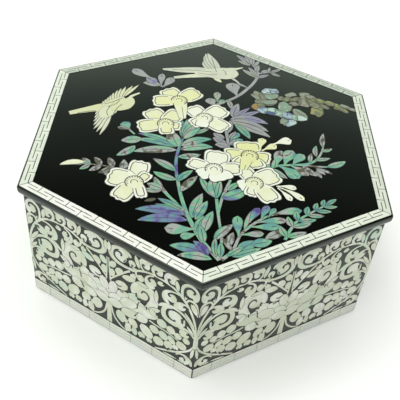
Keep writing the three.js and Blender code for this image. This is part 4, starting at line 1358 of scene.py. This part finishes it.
def lay_blossoms():
    """Blossoms: cream shell flowers and buds, each petal cut and engraved by itself."""
    line = sizes().engraving / MM
    plates, lines, buds = Plates(), Bands(), Bands()
    chance = random.Random(5)
    for tone, layer, eye_x, eye_y, facing, petals in BLOSSOMS:
        for i, petal in enumerate(petals):
            level = PETAL_LEVEL + FLOWER_STEP * layer + PETAL_STEP * i
            mark = tone + chance.uniform(-0.06, 0.06)
            edge = petal_outline(*petal)
            gap = petal_outline(*petal, inset=-line / 2)
            lines.add(stroke(gap, line * PETAL_EDGE), 0.5, level - PETAL_STEP / 4)
            plates.add(edge, mark - EDGE_DARKER, level)
            if petal[3] > ENGRAVED:
                inner = petal_outline(*petal, inset=PETAL_RIM)
                plates.add(inner, mark, level + PETAL_STEP / 3)
                lines.add(stroke(inner[4:-4], line * PETAL_LINE), 0.5, level + 0.007)
        cup = [Vector((eye_x, eye_y)) + ray(turn, CUP + 0.4) for turn in range(0, 360, 18)]
        plates.add([tuple(p) for p in cup], tone, CUP_LEVEL)
        draw_stamens(lines, eye_x, eye_y, facing, line)
    for tone, points in TUBES:
        tube = smooth(points)
        buds.add(tube, tone, TUBE_LEVEL)
        lines.add(widened(tube, 2 * line), 0.5, TUBE_LEVEL - CLIMB)
        lines.add([(x + TUBE_RIB, y, line) for x, y, _ in tube[2:]], 0.5, TUBE_LEVEL + CLIMB)
    for *shape, tone in BUDS:
        bud = blade(*shape, spoon=BUD_SPOON)
        buds.add(bud, tone, BUD_LEVEL)
        lines.add(stroke(bud[8:10], line * PETAL_EDGE), 0.5, BUD_LEVEL + 2 * CLIMB)
    buds.add(blade(*CRESCENT), 0.4, BUD_LEVEL)
    blossoms = lay("blossoms", plates.mesh("blossoms"), finish("blossom shell"), TOP,
                   bands=False)
    finish_piece(blossoms, [f"blossom_{i + 1}" for i in range(len(BLOSSOMS))])
    spare = lay("buds", buds.mesh("buds"), finish("blossom shell"), TOP)
    finish_piece(spare, [])
    engraving = lay("blossom_lines", lines.mesh("blossom_lines"), finish("engraved line"), TOP)
    finish_piece(engraving, [])


# ---------------------------------------------------------------- studio
CAMERA = {
    "aim": (-3.58, -60.49, 87.2),   # millimetres, as is the distance
    "distance": 370.85,
    "heading": 88.24,               # degrees from +X
    "drop": 42.585,                 # degrees under the horizon
    "roll": 5.69,
    "lens": 60.1,
}
SKY = [
    # height above the horizon in degrees, brightness, red and blue against green
    (0, 1.25, 0.96, 0.93), (29, 1.2, 0.9, 0.9), (31, 1.05, 0.86, 0.88), (33, 0.62, 0.86, 0.88),
    (35, 0.36, 0.86, 0.88), (37, 0.24, 0.86, 0.88), (39.5, 0.17, 0.86, 0.88), (42, 0.05, 0.9, 0.9),
    (45, 0.03, 1, 1), (53, 0.03, 1, 1), (57, 3.15, 1, 0.985), (73, 3.15, 1, 0.985), (77, 0.2, 1, 1),
    (90, 0.1, 1, 1),
]
SKY_TILT = 0.5          # share of the light by which the left side is brighter, the right darker
FLOOR_REACH = 6.0       # metres


def place_camera():
    heading, drop = math.radians(CAMERA["heading"]), math.radians(CAMERA["drop"])
    ahead = Vector((math.cos(heading) * math.cos(drop), math.sin(heading) * math.cos(drop),
                    -math.sin(drop)))
    level = ahead.cross(Vector((0, 0, 1))).normalized()
    upright = level.cross(ahead)
    roll = math.radians(CAMERA["roll"])
    right = level * math.cos(roll) + upright * math.sin(roll)
    up = right.cross(ahead)
    place = (Vector(CAMERA["aim"]) - ahead * CAMERA["distance"]) * MM
    data = bpy.data.cameras.new("camera")
    data.lens = CAMERA["lens"]
    data.sensor_width = 36
    data.clip_start = 0.01
    camera = bpy.data.objects.new("camera", data)
    camera.matrix_world = Matrix((
        (right.x, up.x, -ahead.x, place.x),
        (right.y, up.y, -ahead.y, place.y),
        (right.z, up.z, -ahead.z, place.z),
        (0, 0, 0, 1)))
    bpy.context.scene.collection.objects.link(camera)
    bpy.context.scene.camera = camera


def light_world():
    """A dark sky, bright near the horizon and in a ring high up, and brighter on the left."""
    world = bpy.data.worlds.new("studio")
    bpy.context.scene.world = world
    world.use_nodes = True
    world.node_tree.nodes.clear()
    build = Tree(world.node_tree)
    place = build.node("ShaderNodeTexCoord").outputs["Generated"]
    parts = build.node("ShaderNodeSeparateXYZ", {0: place})
    ramp = build.node("ShaderNodeValToRGB", {"Fac": parts.outputs["Z"]})
    elements = ramp.color_ramp.elements
    while len(elements) < len(SKY):
        elements.new(0.5)
    strongest = max(value for _, value, _, _ in SKY)
    for element, (height, value, red, blue) in zip(elements, SKY):
        element.position = math.sin(math.radians(height))
        level = value / strongest
        element.color = (level * red, level, level * blue, 1)
    tilt = build.math("MULTIPLY", parts.outputs["X"], -SKY_TILT * strongest)
    strength = build.math("ADD", tilt, strongest)
    sky = build.node("ShaderNodeBackground", {
        "Color": ramp.outputs["Color"], "Strength": strength})
    build.node("ShaderNodeOutputWorld", {"Surface": sky.outputs[0]})


def lay_stage():
    """Stage: pale floor, soft light and camera."""
    place_camera()
    light_world()
    mesh = bpy.data.meshes.new("floor")
    corners = [(x * FLOOR_REACH, y * FLOOR_REACH, 0) for x, y in ((-1, -1), (1, -1), (1, 1), (-1, 1))]
    mesh.from_pydata(corners, [], [(0, 1, 2, 3)])
    floor = add_object("floor", mesh)
    floor.data.materials.append(plain_material("white paper", (0.95, 0.95, 0.95), 0.6))
    bpy.context.scene.view_settings.view_transform = "Standard"


# ---------------------------------------------------------------- operators and panel
class LACQUERBOX_OT_body(bpy.types.Operator):
    """Hollow body of black lacquer, with its faces just under the shell"""

    bl_idname = "lacquer_box.body"
    bl_label = "Lacquer body"

    def execute(self, context):
        lay_lacquer_body()
        return {"FINISHED"}


class LACQUERBOX_OT_lid(bpy.types.Operator):
    """Lid with a rounded edge and the lip that locates it"""

    bl_idname = "lacquer_box.lid"
    bl_label = "Lacquer lid"

    def execute(self, context):
        lay_lacquer_lid()
        return {"FINISHED"}


class LACQUERBOX_OT_fret(bpy.types.Operator):
    """Six mitred strips of white shell round the top of the lid"""

    bl_idname = "lacquer_box.fret"
    bl_label = "Fret border"

    def execute(self, context):
        lay_fret_border()
        return {"FINISHED"}


class LACQUERBOX_OT_band(bpy.types.Operator):
    """Three rows of thin shell tiles round the foot"""

    bl_idname = "lacquer_box.band"
    bl_label = "Foot band"

    def execute(self, context):
        lay_foot_band()
        return {"FINISHED"}


class LACQUERBOX_OT_scroll(bpy.types.Operator):
    """Vines, comma leaves and a flower of pale shell on each side"""

    bl_idname = "lacquer_box.scroll"
    bl_label = "Side scroll"

    def execute(self, context):
        lay_side_scroll()
        return {"FINISHED"}


class LACQUERBOX_OT_green_leaves(bpy.types.Operator):
    """Stems and leaves of blue-green shell round the flowers"""

    bl_idname = "lacquer_box.green_leaves"
    bl_label = "Green leaves"

    def execute(self, context):
        lay_green_leaves()
        return {"FINISHED"}


class LACQUERBOX_OT_grey_leaves(bpy.types.Operator):
    """Branch, sprig and sword leaves of grey shell"""

    bl_idname = "lacquer_box.grey_leaves"
    bl_label = "Grey leaves"

    def execute(self, context):
        lay_grey_leaves()
        return {"FINISHED"}


class LACQUERBOX_OT_rock(bpy.types.Operator):
    """Overlapping chips of mixed shell with engraved strokes"""

    bl_idname = "lacquer_box.rock"
    bl_label = "Rock"

    def execute(self, context):
        lay_rock()
        return {"FINISHED"}


class LACQUERBOX_OT_birds(bpy.types.Operator):
    """Two birds of cream shell in flight"""

    bl_idname = "lacquer_box.birds"
    bl_label = "Birds"

    def execute(self, context):
        lay_birds()
        return {"FINISHED"}


class LACQUERBOX_OT_blossoms(bpy.types.Operator):
    """Flowers and buds of cream shell"""

    bl_idname = "lacquer_box.blossoms"
    bl_label = "Blossoms"

    def execute(self, context):
        lay_blossoms()
        return {"FINISHED"}


class LACQUERBOX_OT_stage(bpy.types.Operator):
    """Pale floor, soft light and camera"""

    bl_idname = "lacquer_box.stage"
    bl_label = "Stage"

    def execute(self, context):
        lay_stage()
        return {"FINISHED"}


OPERATORS = [
    LACQUERBOX_OT_body, LACQUERBOX_OT_lid, LACQUERBOX_OT_fret, LACQUERBOX_OT_band,
    LACQUERBOX_OT_scroll, LACQUERBOX_OT_green_leaves, LACQUERBOX_OT_grey_leaves,
    LACQUERBOX_OT_rock, LACQUERBOX_OT_birds, LACQUERBOX_OT_blossoms, LACQUERBOX_OT_stage,
]


class LACQUERBOX_PT_panel(bpy.types.Panel):
    """Buttons for the pieces, and the sizes and colours they read."""

    bl_idname = "LACQUERBOX_PT_panel"
    bl_label = "Lacquer Box"
    bl_space_type = "VIEW_3D"
    bl_region_type = "UI"
    bl_category = "Lacquer Box"

    def draw(self, context):
        for made in OPERATORS:
            self.layout.operator(made.bl_idname)
        for group in (sizes(), colours()):
            box = self.layout.box()
            for key in group.__annotations__:
                box.prop(group, key)


CLASSES = [LacquerBoxSizes, LacquerBoxColours, *OPERATORS, LACQUERBOX_PT_panel]


def register():
    for made in CLASSES:
        bpy.utils.register_class(made)
    scene = bpy.types.Scene
    scene.lacquer_box_sizes = bpy.props.PointerProperty(type=LacquerBoxSizes)
    scene.lacquer_box_colours = bpy.props.PointerProperty(type=LacquerBoxColours)


def unregister():
    del bpy.types.Scene.lacquer_box_colours
    del bpy.types.Scene.lacquer_box_sizes
    for made in reversed(CLASSES):
        bpy.utils.unregister_class(made)


def main():
    register()
    bpy.ops.lacquer_box.body()
    bpy.ops.lacquer_box.lid()
    bpy.ops.lacquer_box.fret()
    bpy.ops.lacquer_box.band()
    bpy.ops.lacquer_box.scroll()
    bpy.ops.lacquer_box.green_leaves()
    bpy.ops.lacquer_box.grey_leaves()
    bpy.ops.lacquer_box.rock()
    bpy.ops.lacquer_box.birds()
    bpy.ops.lacquer_box.blossoms()
    bpy.ops.lacquer_box.stage()


if __name__ == "__main__":
    main()
